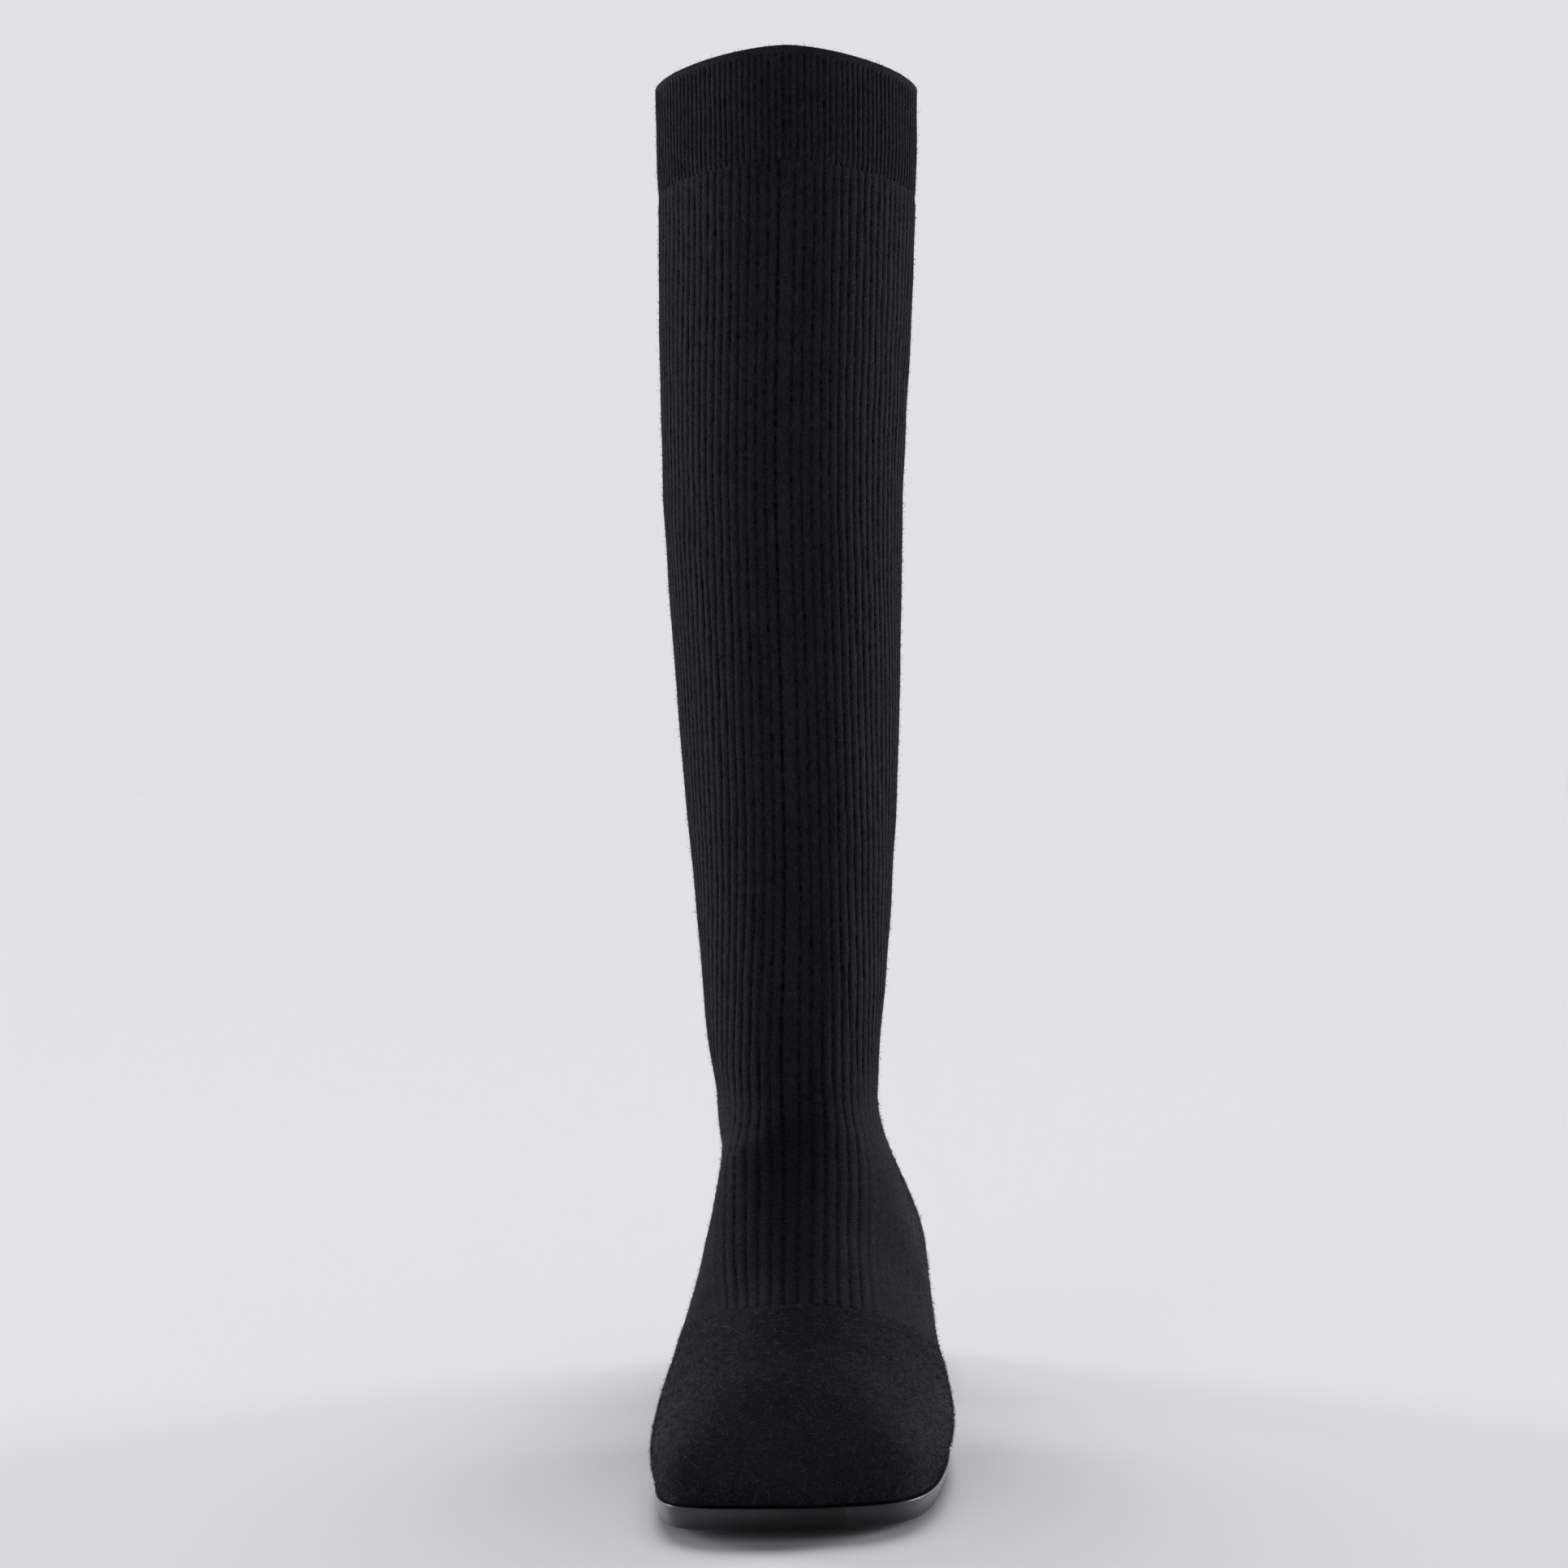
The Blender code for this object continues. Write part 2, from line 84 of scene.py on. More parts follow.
# The knit, in metres
RIB = 0.00345            # pitch of the shaft's ribs at the front
RIB_COLUMNS = 8          # mesh columns to a rib
RIB_DEPTH = 0.00040
CENTRE_COLUMNS = 6       # half of the wide rib down the front, in columns
CUFF_RIB = 0.00230
CUFF_RIB_DEPTH = 0.00042
BAND = 0.0026            # plain band at the top edge
STITCH = 0.00145         # height of one row of stitches

Outline = namedtuple("Outline", "along inflare size inner outer")
Ridge = namedtuple("Ridge", "along toe ankle dome inner outer swing")
Back = namedtuple("Back", "rise inward bulge")
Leg = namedtuple("Leg", "rise width depth lean offset")

OUTLINE = [
    Outline(0.000, 0.00, BALL_WIDTH, 0.230, -0.020),
    Outline(0.005, 0.00, BALL_WIDTH, 0.272, 0.098),
    Outline(0.017, 0.00, BALL_WIDTH, 0.328, 0.208),
    Outline(0.030, 0.00, BALL_WIDTH, 0.360, 0.298),
    Outline(0.050, 0.00, BALL_WIDTH, 0.384, 0.374),
    Outline(0.079, 0.00, BALL_WIDTH, 0.404, 0.434),
    Outline(0.127, 0.00, BALL_WIDTH, 0.417, 0.488),
    Outline(0.189, 0.00, BALL_WIDTH, 0.424, 0.530),
    Outline(0.266, 0.00, BALL_WIDTH, 0.422, 0.561),
    Outline(0.372, 0.00, BALL_WIDTH, 0.405, 0.568),
    Outline(0.494, 0.35, BALL_WIDTH, 0.391, 0.473),
    Outline(0.616, 0.70, HEEL_WIDTH, 0.522, 0.570),
    Outline(0.738, 0.90, HEEL_WIDTH, 0.478, 0.517),
    Outline(0.861, 1.00, HEEL_WIDTH, 0.500, 0.500),
    Outline(0.930, 1.00, HEEL_WIDTH, 0.442, 0.445),
    Outline(0.971, 1.00, HEEL_WIDTH, 0.317, 0.317),
    Outline(0.991, 1.00, HEEL_WIDTH, 0.183, 0.183),
    Outline(1.000, 1.00, HEEL_WIDTH, 0.058, 0.058),
]
RIDGE = [
    Ridge(-0.004, 0.361, 0.000, 0.85, 2.4, 2.4, 0.00),
    Ridge(0.005, 0.441, 0.000, 0.85, 2.4, 2.4, 0.00),
    Ridge(0.025, 0.553, 0.000, 0.85, 2.4, 2.4, 0.00),
    Ridge(0.060, 0.672, 0.000, 0.85, 2.4, 2.4, 0.00),
    Ridge(0.105, 0.784, 0.000, 0.85, 2.4, 2.4, 0.00),
    Ridge(0.180, 0.897, 0.000, 0.88, 2.3, 2.3, 0.10),
    Ridge(0.290, 1.000, 0.000, 0.92, 2.2, 2.2, 0.20),
    Ridge(0.410, 0.950, 0.080, 0.94, 2.1, 2.1, 0.35),
    Ridge(0.545, 0.750, 0.242, 0.90, 2.1, 2.1, 0.50),
    Ridge(0.675, 0.450, 0.465, 0.76, 3.0, 2.0, 0.65),
    Ridge(0.805, 0.200, 0.676, 0.48, 3.4, 2.0, 0.80),
    Ridge(0.900, 0.050, 0.843, 0.38, 3.2, 2.0, 0.95),
    Ridge(0.960, 0.000, 0.945, 0.46, 2.3, 2.2, 1.00),
]
BACK = [
    Back(0.00, 0.00, -0.45),
    Back(0.08, 0.00, 0.35),
    Back(0.20, 0.00, 0.90),
    Back(0.36, 0.03, 1.00),
    Back(0.54, 0.22, 0.85),
    Back(0.72, 0.56, 0.50),
    Back(0.87, 0.85, 0.20),
    Back(1.00, 1.00, 0.00),
]
LEG = [
    Leg(0.00, 0.04, 0.00, 0.12, 0.95),
    Leg(0.06, 0.17, 0.06, -0.02, 0.72),
    Leg(0.11, 0.28, 0.25, -0.04, 0.73),
    Leg(0.21, 0.43, 0.56, 0.00, 0.67),
    Leg(0.31, 0.59, 0.88, 0.08, 0.50),
    Leg(0.41, 0.70, 1.12, 0.19, 0.30),
    Leg(0.51, 0.79, 1.25, 0.29, 0.08),
    Leg(0.61, 0.86, 1.31, 0.42, -0.06),
    Leg(0.70, 0.92, 1.31, 0.54, 0.00),
    Leg(0.80, 0.98, 1.25, 0.69, 0.12),
    Leg(0.90, 0.99, 1.12, 0.83, 0.20),
    Leg(1.00, 1.00, 1.00, 1.00, 0.15),
]

HEEL_SEAT = HEEL_HEIGHT + SOLE_THICKNESS + GAP
ANKLE_HEIGHT = HEEL_SEAT + ANKLE_RISE
CUFF_LINE = BOOT_HEIGHT - CUFF_DEPTH
SIDES = (1, -1)


# Curves

def mix(a, b, share):
    return a + (b - a) * share


def ease(share):
    t = np.clip(share, 0.0, 1.0)
    return t * t * (3.0 - 2.0 * t)


def smooth(rows, steps=12):
    """Smooth curve through the rows, paced by the place in their first two columns."""
    p = np.array(rows, dtype=float)
    p = np.vstack([2 * p[0] - p[1], p, 2 * p[-1] - p[-2]])
    points = []
    for a, b, c, d in zip(p, p[1:], p[2:], p[3:]):
        ta, tb, tc = (math.sqrt(np.linalg.norm(v[:2])) for v in (b - a, c - b, d - c))
        leave = tb * ((b - a) / ta - (c - a) / (ta + tb) + (c - b) / tb)
        reach = tb * ((c - b) / tb - (d - b) / (tb + tc) + (d - c) / tc)
        for t in np.arange(steps) / steps:
            start = 2 * t**3 - 3 * t**2 + 1
            points.append(
                start * b
                + (1 - start) * c
                + (t**3 - 2 * t**2 + t) * leave
                + (t**3 - t**2) * reach
            )
    points.append(p[-2])
    return np.array(points)


def travel(points):
    """Distance run along a line, at each of its points."""
    step = np.linalg.norm(np.diff(points, axis=0), axis=1)
    return np.concatenate([[0.0], np.cumsum(step)])


def along(points, place, where=None):
    """Points of a line at given distances along it."""
    where = travel(points) if where is None else where
    return np.stack([np.interp(place, where, column) for column in points.T], axis=-1)


# Shape of the last, as the frame's solids have it

def underside(y):
    spring = TOE_SPRING * np.clip(1.0 - y / (SPRING_END * FOOT_LENGTH), 0.0, 1.0) ** 2
    rise = (y / FOOT_LENGTH - TREAD_END) / (HEEL_BREAST - TREAD_END)
    return spring + HEEL_HEIGHT * ease(rise)


def feather(y):
    return underside(np.clip(y, 0.0, FOOT_LENGTH)) + SOLE_THICKNESS + GAP


def outline_side(side):
    rows = []
    for r in OUTLINE:
        reach = r.outer if side > 0 else r.inner
        rows.append((r.along * FOOT_LENGTH, r.inflare * INFLARE + side * reach * r.size))
    return smooth(rows)


EDGE = {side: outline_side(side) for side in SIDES}


def edge(side, share, grow=0.0):
    y = share * FOOT_LENGTH
    inner = np.interp(y, *EDGE[-1].T)
    outer = np.interp(y, *EDGE[1].T)
    to_heel = ease((share - TREAD_END) / (HEEL_BREAST - TREAD_END))
    local = mix(BALL_WIDTH, HEEL_WIDTH, to_heel) / 2.0
    half = (outer - inner) / 2.0 * (1.0 + grow / local)
    return (inner + outer) / 2.0 + side * half


def behind(share, grow=0.0):
    return share * (FOOT_LENGTH + 2.0 * grow) - grow


def swell(height):
    fullness = np.sin(np.clip(height / SWELL_HEIGHT, 0.0, 1.0) * math.pi / 2.0)
    return mix(-SOLE_MARGIN, SIDE_SWELL, fullness)


def leg_table():
    rows = []
    for r in LEG:
        rows.append((
            mix(ANKLE_HEIGHT, BOOT_HEIGHT, r.rise),
            mix(ANKLE_WIDTH, COLLAR_WIDTH, r.width) / 2.0,
            mix(ANKLE_DEPTH, COLLAR_DEPTH, r.depth) / 2.0,
            ANKLE_FRONT - SHAFT_LEAN * r.lean,
            ANKLE_OFFSET * r.offset,
        ))
    return smooth(rows)


LEG_LINE = leg_table()


def leg_at(z):
    return [np.interp(z, LEG_LINE[:, 0], LEG_LINE[:, i]) for i in (1, 2, 3, 4)]


def back_table():
    ankle = leg_at(ANKLE_HEIGHT)
    ankle_back = ankle[2] + 2.0 * ankle[1]
    rows = []
    for r in BACK:
        y = mix(FOOT_LENGTH, ankle_back, r.inward) + HEEL_BULGE * r.bulge
        rows.append((y, mix(HEEL_SEAT, ANKLE_HEIGHT, r.rise)))
    return smooth(rows)


BACK_LINE = back_table()


def back_at(z):
    heel = np.interp(z, BACK_LINE[:, 1], BACK_LINE[:, 0])
    _, half_depth, front, _ = leg_at(z)
    return np.where(z > ANKLE_HEIGHT, front + 2.0 * half_depth, heel)


def ridge_rows():
    rows = []
    for r in RIDGE:
        y = r.along * ANKLE_FRONT
        depth = r.toe * TOE_DEPTH + r.ankle * (ANKLE_HEIGHT - feather(y))
        middle = (edge(1, y / FOOT_LENGTH) + edge(-1, y / FOOT_LENGTH)) / 2.0
        across = mix(middle, ANKLE_OFFSET, r.swing)
        rows.append((y, feather(y) + depth, r.dome * depth, r.inner, r.outer, across))
    return rows


def leg_rows():
    rows = []
    for share in np.linspace(0.0, 1.0, 2 * len(LEG)):
        z = mix(ANKLE_HEIGHT, BOOT_HEIGHT, share)
        half_width, half_depth, front, centre = leg_at(z)
        square = mix(2.0, COLLAR_POINT, share)
        rows.append((front, z, half_depth, square, square, centre))
    return rows


def top_line():
    rows = ridge_rows() + leg_rows()
    ahead = np.array(rows[0])
    ahead[0] -= TOE_DEPTH
    above = np.array(rows[-1])
    above[1] += CUFF_DEPTH
    return np.vstack([ahead, smooth(rows, 8), above])


TOP_LINE = top_line()
TOP_START = TOP_LINE[:-1, :2]
TOP_RUN = np.linalg.norm(np.diff(TOP_LINE[:, :2], axis=0), axis=1)
TOP_WAY = np.diff(TOP_LINE[:, :2], axis=0) / TOP_RUN[:, None]
TOP_TRAVEL = travel(TOP_LINE[:, :2])


def below_top(y, z):
    """Soft distance from the top line, and the line's own values beside that place."""
    offset = np.stack([y, z], axis=1)[:, None] - TOP_START
    run = (offset * TOP_WAY).sum(2)
    aside = np.abs(offset[..., 0] * TOP_WAY[:, 1] - offset[..., 1] * TOP_WAY[:, 0])
    aside = np.maximum(aside, 1e-5)
    weight = 0.0
    moment = 0.0
    for s, sign in ((TOP_RUN - run, 1), (-run, -1)):
        square = aside**2 + s**2
        weight += sign * (s / (aside**2 * square) + np.arctan(s / aside) / aside**3) / 2.0
        moment -= sign / square / 2.0
    total = weight.sum(1)
    place = ((TOP_TRAVEL[:-1] + run) * weight + moment).sum(1) / total
    values = [np.interp(place, TOP_TRAVEL, column) for column in TOP_LINE.T[2:]]
    return (total * 2.0 / math.pi) ** (-1.0 / 3.0), values


def foot_side(side, y, z):
    grow = swell(z - feather(y))
    start = -swell(z - feather(0.0))
    share = (y - start) / (back_at(np.minimum(z, ANKLE_HEIGHT)) - start)
    return edge(side, np.clip(share, 0.0, 1.0), grow)


def leg_side(side, y, z):
    half_width, half_depth, _, centre = leg_at(z)
    behind_middle = (y - back_at(z) + half_depth) / half_depth
    rounding = np.sqrt(1.0 - np.clip(behind_middle, 0.0, 1.0) ** 2)
    return centre + side * half_width * rounding


def upper_side(side, y, z):
    low = feather(y) + SWELL_HEIGHT
    share = ease((z - low) / (ANKLE_HEIGHT - low))
    full = mix(foot_side(side, y, z), leg_side(side, y, z), share)
    depth, (dome, inner, outer, across) = below_top(y, z)
    square = outer if side > 0 else inner
    left = 1.0 - np.clip(depth / dome, 0.0, 1.0)
    return mix(across, full, (1.0 - left**square) ** (1.0 / square))


# Place of the last in the frame
sole_low, sole_high = (np.array(c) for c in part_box("outsole"))
SHIFT = np.array([
    (sole_low[0] + sole_high[0] - EDGE[-1][:, 1].min() - EDGE[1][:, 1].max()) / 2.0,
    sole_low[1],
    0.0,
])


# Sections of the upper. Each runs from the front line, which goes from the nose up
# to the collar, to the end line, which goes from the toe's side along the sole's
# edge to the heel and up the back.

PIVOT = 0.030            # y at which the end line starts, on the toe's side
BASE = 110               # points of a half section


def front_line():
    wall = [(-swell(h), feather(0.0) + h) for h in SWELL_HEIGHT * np.linspace(0.0, 1.0, 4)]
    top = TOP_LINE[1:-1, :2]
    return np.vstack([smooth(wall), top])


def end_line():
    low = np.linspace(PIVOT, FOOT_LENGTH - SOLE_MARGIN, 80)
    sole = np.stack([low, feather(low)], axis=1)
    high = np.linspace(ANKLE_HEIGHT, BOOT_HEIGHT, 80)[1:]
    leg = np.stack([back_at(high), high], axis=1)
    return np.vstack([sole, BACK_LINE[1:], leg]), travel(sole)[-1]


FRONT = front_line()
FRONT_AT = travel(FRONT)
END, CORNER = end_line()
END_AT = travel(END)


def front_from(y=None, z=None):
    """Distance along the front line of a place on the ridge or on the leg."""
    if z is not None:
        return float(np.interp(z, FRONT[:, 1], FRONT_AT))
    foot = FRONT[:, 1] < ANKLE_HEIGHT
    return float(np.interp(y, FRONT[foot, 0], FRONT_AT[foot]))


def end_from(y=None, z=None):
    """Distance along the end line of a place on the sole's edge or on the back."""
    if z is not None:
        back = END_AT > CORNER
        return float(np.interp(z, END[back, 1], END_AT[back]))
    sole = END_AT <= CORNER
    return float(np.interp(y, END[sole, 0], END_AT[sole]))


TOE_LINE = front_from(y=0.0672)      # where the ribs meet the felted toe
CORNER_FRONT = front_from(y=0.134)   # opposite the heel, where the end line turns up
CUFF_AT = front_from(z=CUFF_LINE)
SEAM_TILT = {-1: 0.013, 1: -0.004}   # the toe seam runs further back on the inner side


def fan(side):
    """Places on the front line and on the end line that one section joins."""
    tilt = SEAM_TILT[side]
    return smooth([
        (front_from(y=PIVOT - 0.002), 0.0),
        (front_from(y=0.045), end_from(y=0.070 + 0.6 * tilt)),
        (TOE_LINE, end_from(y=0.126 + tilt)),
        (front_from(y=0.098), end_from(y=0.182 + 0.5 * tilt)),
        (front_from(y=0.122), end_from(y=0.222 + 0.1 * tilt)),
        (CORNER_FRONT, CORNER),
        (front_from(z=0.098), end_from(z=0.050)),
        (front_from(z=0.125), end_from(z=0.096)),
        (front_from(z=0.165), end_from(z=0.156)),
        (front_from(z=0.210), end_from(z=0.209)),
        (front_from(z=0.230), end_from(z=0.230)),
        (front_from(z=0.330), end_from(z=0.330)),
        (FRONT_AT[-1], END_AT[-1]),
    ])


FANS = {side: fan(side) for side in SIDES}


def section(place):
    """Both halves of the section from a place on the front line."""
    front = along(FRONT, place, FRONT_AT)
    first = [[below_top(*front[:, None])[1][3][0], *front]]
    share = (1.0 - np.cos(np.linspace(0.05, math.pi, 170))) / 2.0
    halves = []
    for side in SIDES:
        reach = np.interp(place, *FANS[side].T)
        end = along(END, reach, END_AT)
        y = mix(front[0], end[0], share)
        z = mix(front[1], end[1], share)
        low = feather(y) - mix(feather(front[0]), feather(end[0]), share)
        z = z + low * np.clip(1.0 - (front[1] - feather(front[0])) / SWELL_HEIGHT, 0.0, 1.0)
        line = np.vstack([first, np.stack([upper_side(side, y, z), y, z], axis=1)])
        if place >= CORNER_FRONT - 1e-6:
            ends = [upper_side(s, y[-1:], z[-1:])[0] for s in SIDES]
            line = np.vstack([line, [[sum(ends) / 2.0, y[-1], z[-1]]]])
        where = travel(line)
        halves.append(along(line, np.linspace(0.0, where[-1], BASE + 1), where))
    return halves


def unfold(places):
    """Grid of points over whole sections, from the inner end across to the outer."""
    rows = []
    for place in places:
        outer, inner = section(place)
        rows.append(np.vstack([inner[::-1], outer[1:]]))
    return np.array(rows)


def outward(grid):
    """Unit normals of such a grid, which runs up the boot."""
    run = np.gradient(grid, axis=1)
    up = np.gradient(grid, axis=0)
    run[:, 0] = run[:, 1]
    run[:, -1] = run[:, -2]
    up[:, 0] = up[:, 1]
    up[:, -1] = up[:, -2]
    normal = np.cross(run, up)
    return normal / np.maximum(np.linalg.norm(normal, axis=2, keepdims=True), 1e-12)


# Meshes

def grid_mesh(name, points, uv, material, merge=2e-6, flip=False):
    """Smooth mesh over a grid of points, with its map."""
    rows, columns = points.shape[:2]
    bm = bmesh.new()
    bmesh.ops.create_grid(bm, x_segments=columns - 1, y_segments=rows - 1, size=1.0)
    for vertex, place in zip(bm.verts, (points + SHIFT).reshape(-1, 3)):
        vertex.co = place.tolist()
    layer = bm.loops.layers.uv.new("UVMap")
    flat = uv.reshape(-1, 2)
    bm.verts.index_update()
    for face in bm.faces:
        for loop in face.loops:
            loop[layer].uv = flat[loop.vert.index].tolist()
    bmesh.ops.remove_doubles(bm, verts=bm.verts, dist=merge)
    bmesh.ops.dissolve_degenerate(bm, edges=bm.edges, dist=1e-7)
    if flip:
        bmesh.ops.reverse_faces(bm, faces=bm.faces)
    return new_piece(name, bm, material)


def new_piece(name, bm, material):
    mesh = bpy.data.meshes.new(name)
    bm.to_mesh(mesh)
    bm.free()
    return add_piece(name, mesh, material)


def add_piece(name, mesh, material):
    mesh.shade_smooth()
    mesh.materials.append(material)
    piece = bpy.data.objects.new(name, mesh)
    bpy.context.scene.collection.objects.link(piece)
    return piece


def knit_rows(places):
    """Base grid, its normals and the lengths of its half sections."""
    grid = unfold(places)
    normal = outward(grid)
    lengths = []
    for line in grid:
        where = travel(line)
        lengths.append((where[BASE], where[-1] - where[BASE]))
    return grid, normal, np.array(lengths)


def ribbed(places, spacing, height):
    """Points and map of a knitted piece whose columns follow the ribs.

    height gives the lift of a row from its place on the front line, and from its points'
    columns, distances from that line, lengths of their half sections and places.
    """
    grid, normal, lengths = knit_rows(places)
    drift = np.interp(places, DRIFT[:, 0], DRIFT[:, 1])
    widest = int(math.ceil(((lengths + np.abs(drift)[:, None]) / spacing[:, None]).max())) + 1
    columns = np.arange(-widest, widest + 1)
    points = np.empty((len(places), len(columns), 3))
    uv = np.empty((len(places), len(columns), 2))
    for i, place in enumerate(places):
        inner, outer = lengths[i]
        distance = np.clip(columns * spacing[i] + drift[i], -inner, outer)
        where = travel(grid[i])
        base = along(grid[i], distance + inner, where)
        way = along(normal[i], distance + inner, where)
        way /= np.linalg.norm(way, axis=1, keepdims=True)
        own = (distance - drift[i]) / spacing[i]
        lift = height(place, own, distance, np.where(distance < 0.0, inner, outer), base)
        points[i] = base + way * lift[:, None]
        uv[i, :, 0] = own / RIB_COLUMNS
        uv[i, :, 1] = place / STITCH
    return points, uv


def furrow(column, centre, width):
    """0 on a rib and 1 in the furrows, which lie every RIB_COLUMNS columns."""
    steps = np.maximum((np.abs(column) - centre) / RIB_COLUMNS, 0.0)
    away = np.abs(np.abs(column) - centre - np.round(steps) * RIB_COLUMNS)
    return np.exp(-((away / width) ** 2))


def noise(seed, *axes):
    """Soft deterministic ripple of about unit size, from a few sines."""
    rng = np.random.RandomState(seed)
    total = 0.0
    for _ in range(7):
        phase = rng.uniform(0.0, 2.0 * math.pi)
        for axis in axes:
            phase = phase + axis * rng.uniform(0.4, 1.8)
        total = total + np.sin(phase)
    return total / 2.6


# Shader maths: a Value wraps a socket, and arithmetic on it adds Math nodes

class Value:
    def __init__(self, nodes, socket):
        self.nodes = nodes
        self.socket = socket

    def calc(self, operation, *others, clamp=False):
        sockets = dict(enumerate((self, *others)))
        node = self.nodes.add("ShaderNodeMath", sockets, operation=operation, use_clamp=clamp)
        return Value(self.nodes, node.outputs[0])

    def __add__(self, other):
        return self.calc("ADD", other)

    __radd__ = __add__

    def __mul__(self, other):
        return self.calc("MULTIPLY", other)

    __rmul__ = __mul__

    def __sub__(self, other):
        return self.calc("SUBTRACT", other)

    def __rsub__(self, other):
        return (self * -1.0) + other

    def step(self, low, high):
        """Soft step from 0 at low to 1 at high."""
        sockets = {"Value": self, "From Min": low, "From Max": high}
        node = self.nodes.add("ShaderNodeMapRange", sockets, interpolation_type="SMOOTHSTEP")
        return Value(self.nodes, node.outputs["Result"])


class Nodes:
    """A node tree and the one way in which nodes are added to it."""

    def __init__(self, tree):
        self.tree = tree

    def add(self, kind, sockets, **settings):
        """New node: its settings first, then the value or link of each socket."""
        node = self.tree.nodes.new(kind)
        for name, setting in settings.items():
            setattr(node, name, setting)
        for key, value in sockets.items():
            if isinstance(value, Value):
                self.tree.links.new(value.socket, node.inputs[key])
            else:
                node.inputs[key].default_value = value
        return node


class Finish(Nodes):
    """A Principled material and the patterns that feed it."""

    def __init__(self, name, gloss, **constants):
        self.material = bpy.data.materials.new(name)
        self.material.use_nodes = True
        super().__init__(self.material.node_tree)
        self.shader = self.tree.nodes["Principled BSDF"]
        self.shader.inputs["Specular IOR Level"].default_value = gloss
        for socket, value in constants.items():
            self.shader.inputs[socket.replace("_", " ")].default_value = value

    def place(self):
        """Object coordinates."""
        return Value(self, self.add("ShaderNodeTexCoord", {}).outputs["Object"])

    def axis(self, vector, name):
        return Value(self, self.add("ShaderNodeSeparateXYZ", {0: vector}).outputs[name])

    def map(self):
        """The piece's own map: across in ribs, along in rows of stitches."""
        uv = Value(self, self.add("ShaderNodeTexCoord", {}).outputs["UV"])
        return self.axis(uv, "X"), self.axis(uv, "Y")

    def vector(self, x, y):
        return Value(self, self.add("ShaderNodeCombineXYZ", {0: x, 1: y}).outputs[0])

    def stretch(self, vector, sizes):
        node = self.add("ShaderNodeVectorMath", {0: vector, 1: sizes}, operation="MULTIPLY")
        return Value(self, node.outputs[0])

    def noise(self, vector, scale, detail=2.0, rough=0.5, twist=0.0):
        sockets = {"Vector": vector, "Scale": scale, "Detail": detail}
        sockets.update({"Roughness": rough, "Distortion": twist})
        return Value(self, self.add("ShaderNodeTexNoise", sockets).outputs["Fac"])

    def blend(self, share, low, high):
        """Colour between two others."""
        sockets = {0: share, 6: (*low, 1.0), 7: (*high, 1.0)}
        return Value(self, self.add("ShaderNodeMix", sockets, data_type="RGBA").outputs[2])

    def feed(self, name, value):
        self.tree.links.new(value.socket, self.shader.inputs[name])

    def bump(self, height, distance, strength=1.0):
        sockets = {"Strength": strength, "Distance": distance, "Height": height}
        self.feed("Normal", Value(self, self.add("ShaderNodeBump", sockets).outputs[0]))


# Finishes. Their patterns' scales and steps are set one by one beside the photo.

YARN_DARK = (0.0014, 0.0012, 0.0020)
YARN_LIGHT = (0.0262, 0.0238, 0.0365)
YARN_SHEEN = (0.78, 0.75, 1.0, 1.0)
YARN_GLOSS = 0.04
FIBRE_DEPTH = 0.0005
TURN = 2.0 * math.pi

FOOT_TOP = 0.114                # height over which the felted sides have gone
FOOT_FADE = 0.022               # and how far below it they begin to go
FELT_RIBS = 5.0                 # ribs from the front line to the felted sides
FELT_FADE = 2.4                 # ribs over which they set in
NARROWER = 0.22                 # what each half of the wide front rib lacks on the foot, in ribs
NARROW_ENDS = TOE_LINE + 0.045  # it widens from here
WIDE_STARTS = TOE_LINE + 0.120  # to here, up the front line
FUNNEL = 0.016                  # how far below the cuff the front furrow's painted shade opens towards the cuff's own
DULL_AT = 0.0105                # x of the sole's dullest place in front, from the last's middle line


def yarn_finish(name, sheen):
    f = Finish(name, YARN_GLOSS, Roughness=0.95, Sheen_Weight=sheen, Sheen_Roughness=0.30)
    f.shader.inputs["Sheen Tint"].default_value = YARN_SHEEN
    return f


def feed_yarn(f, tone):
    f.feed("Base Color", f.blend(tone.calc("MULTIPLY", 1.0, clamp=True), YARN_DARK, YARN_LIGHT))


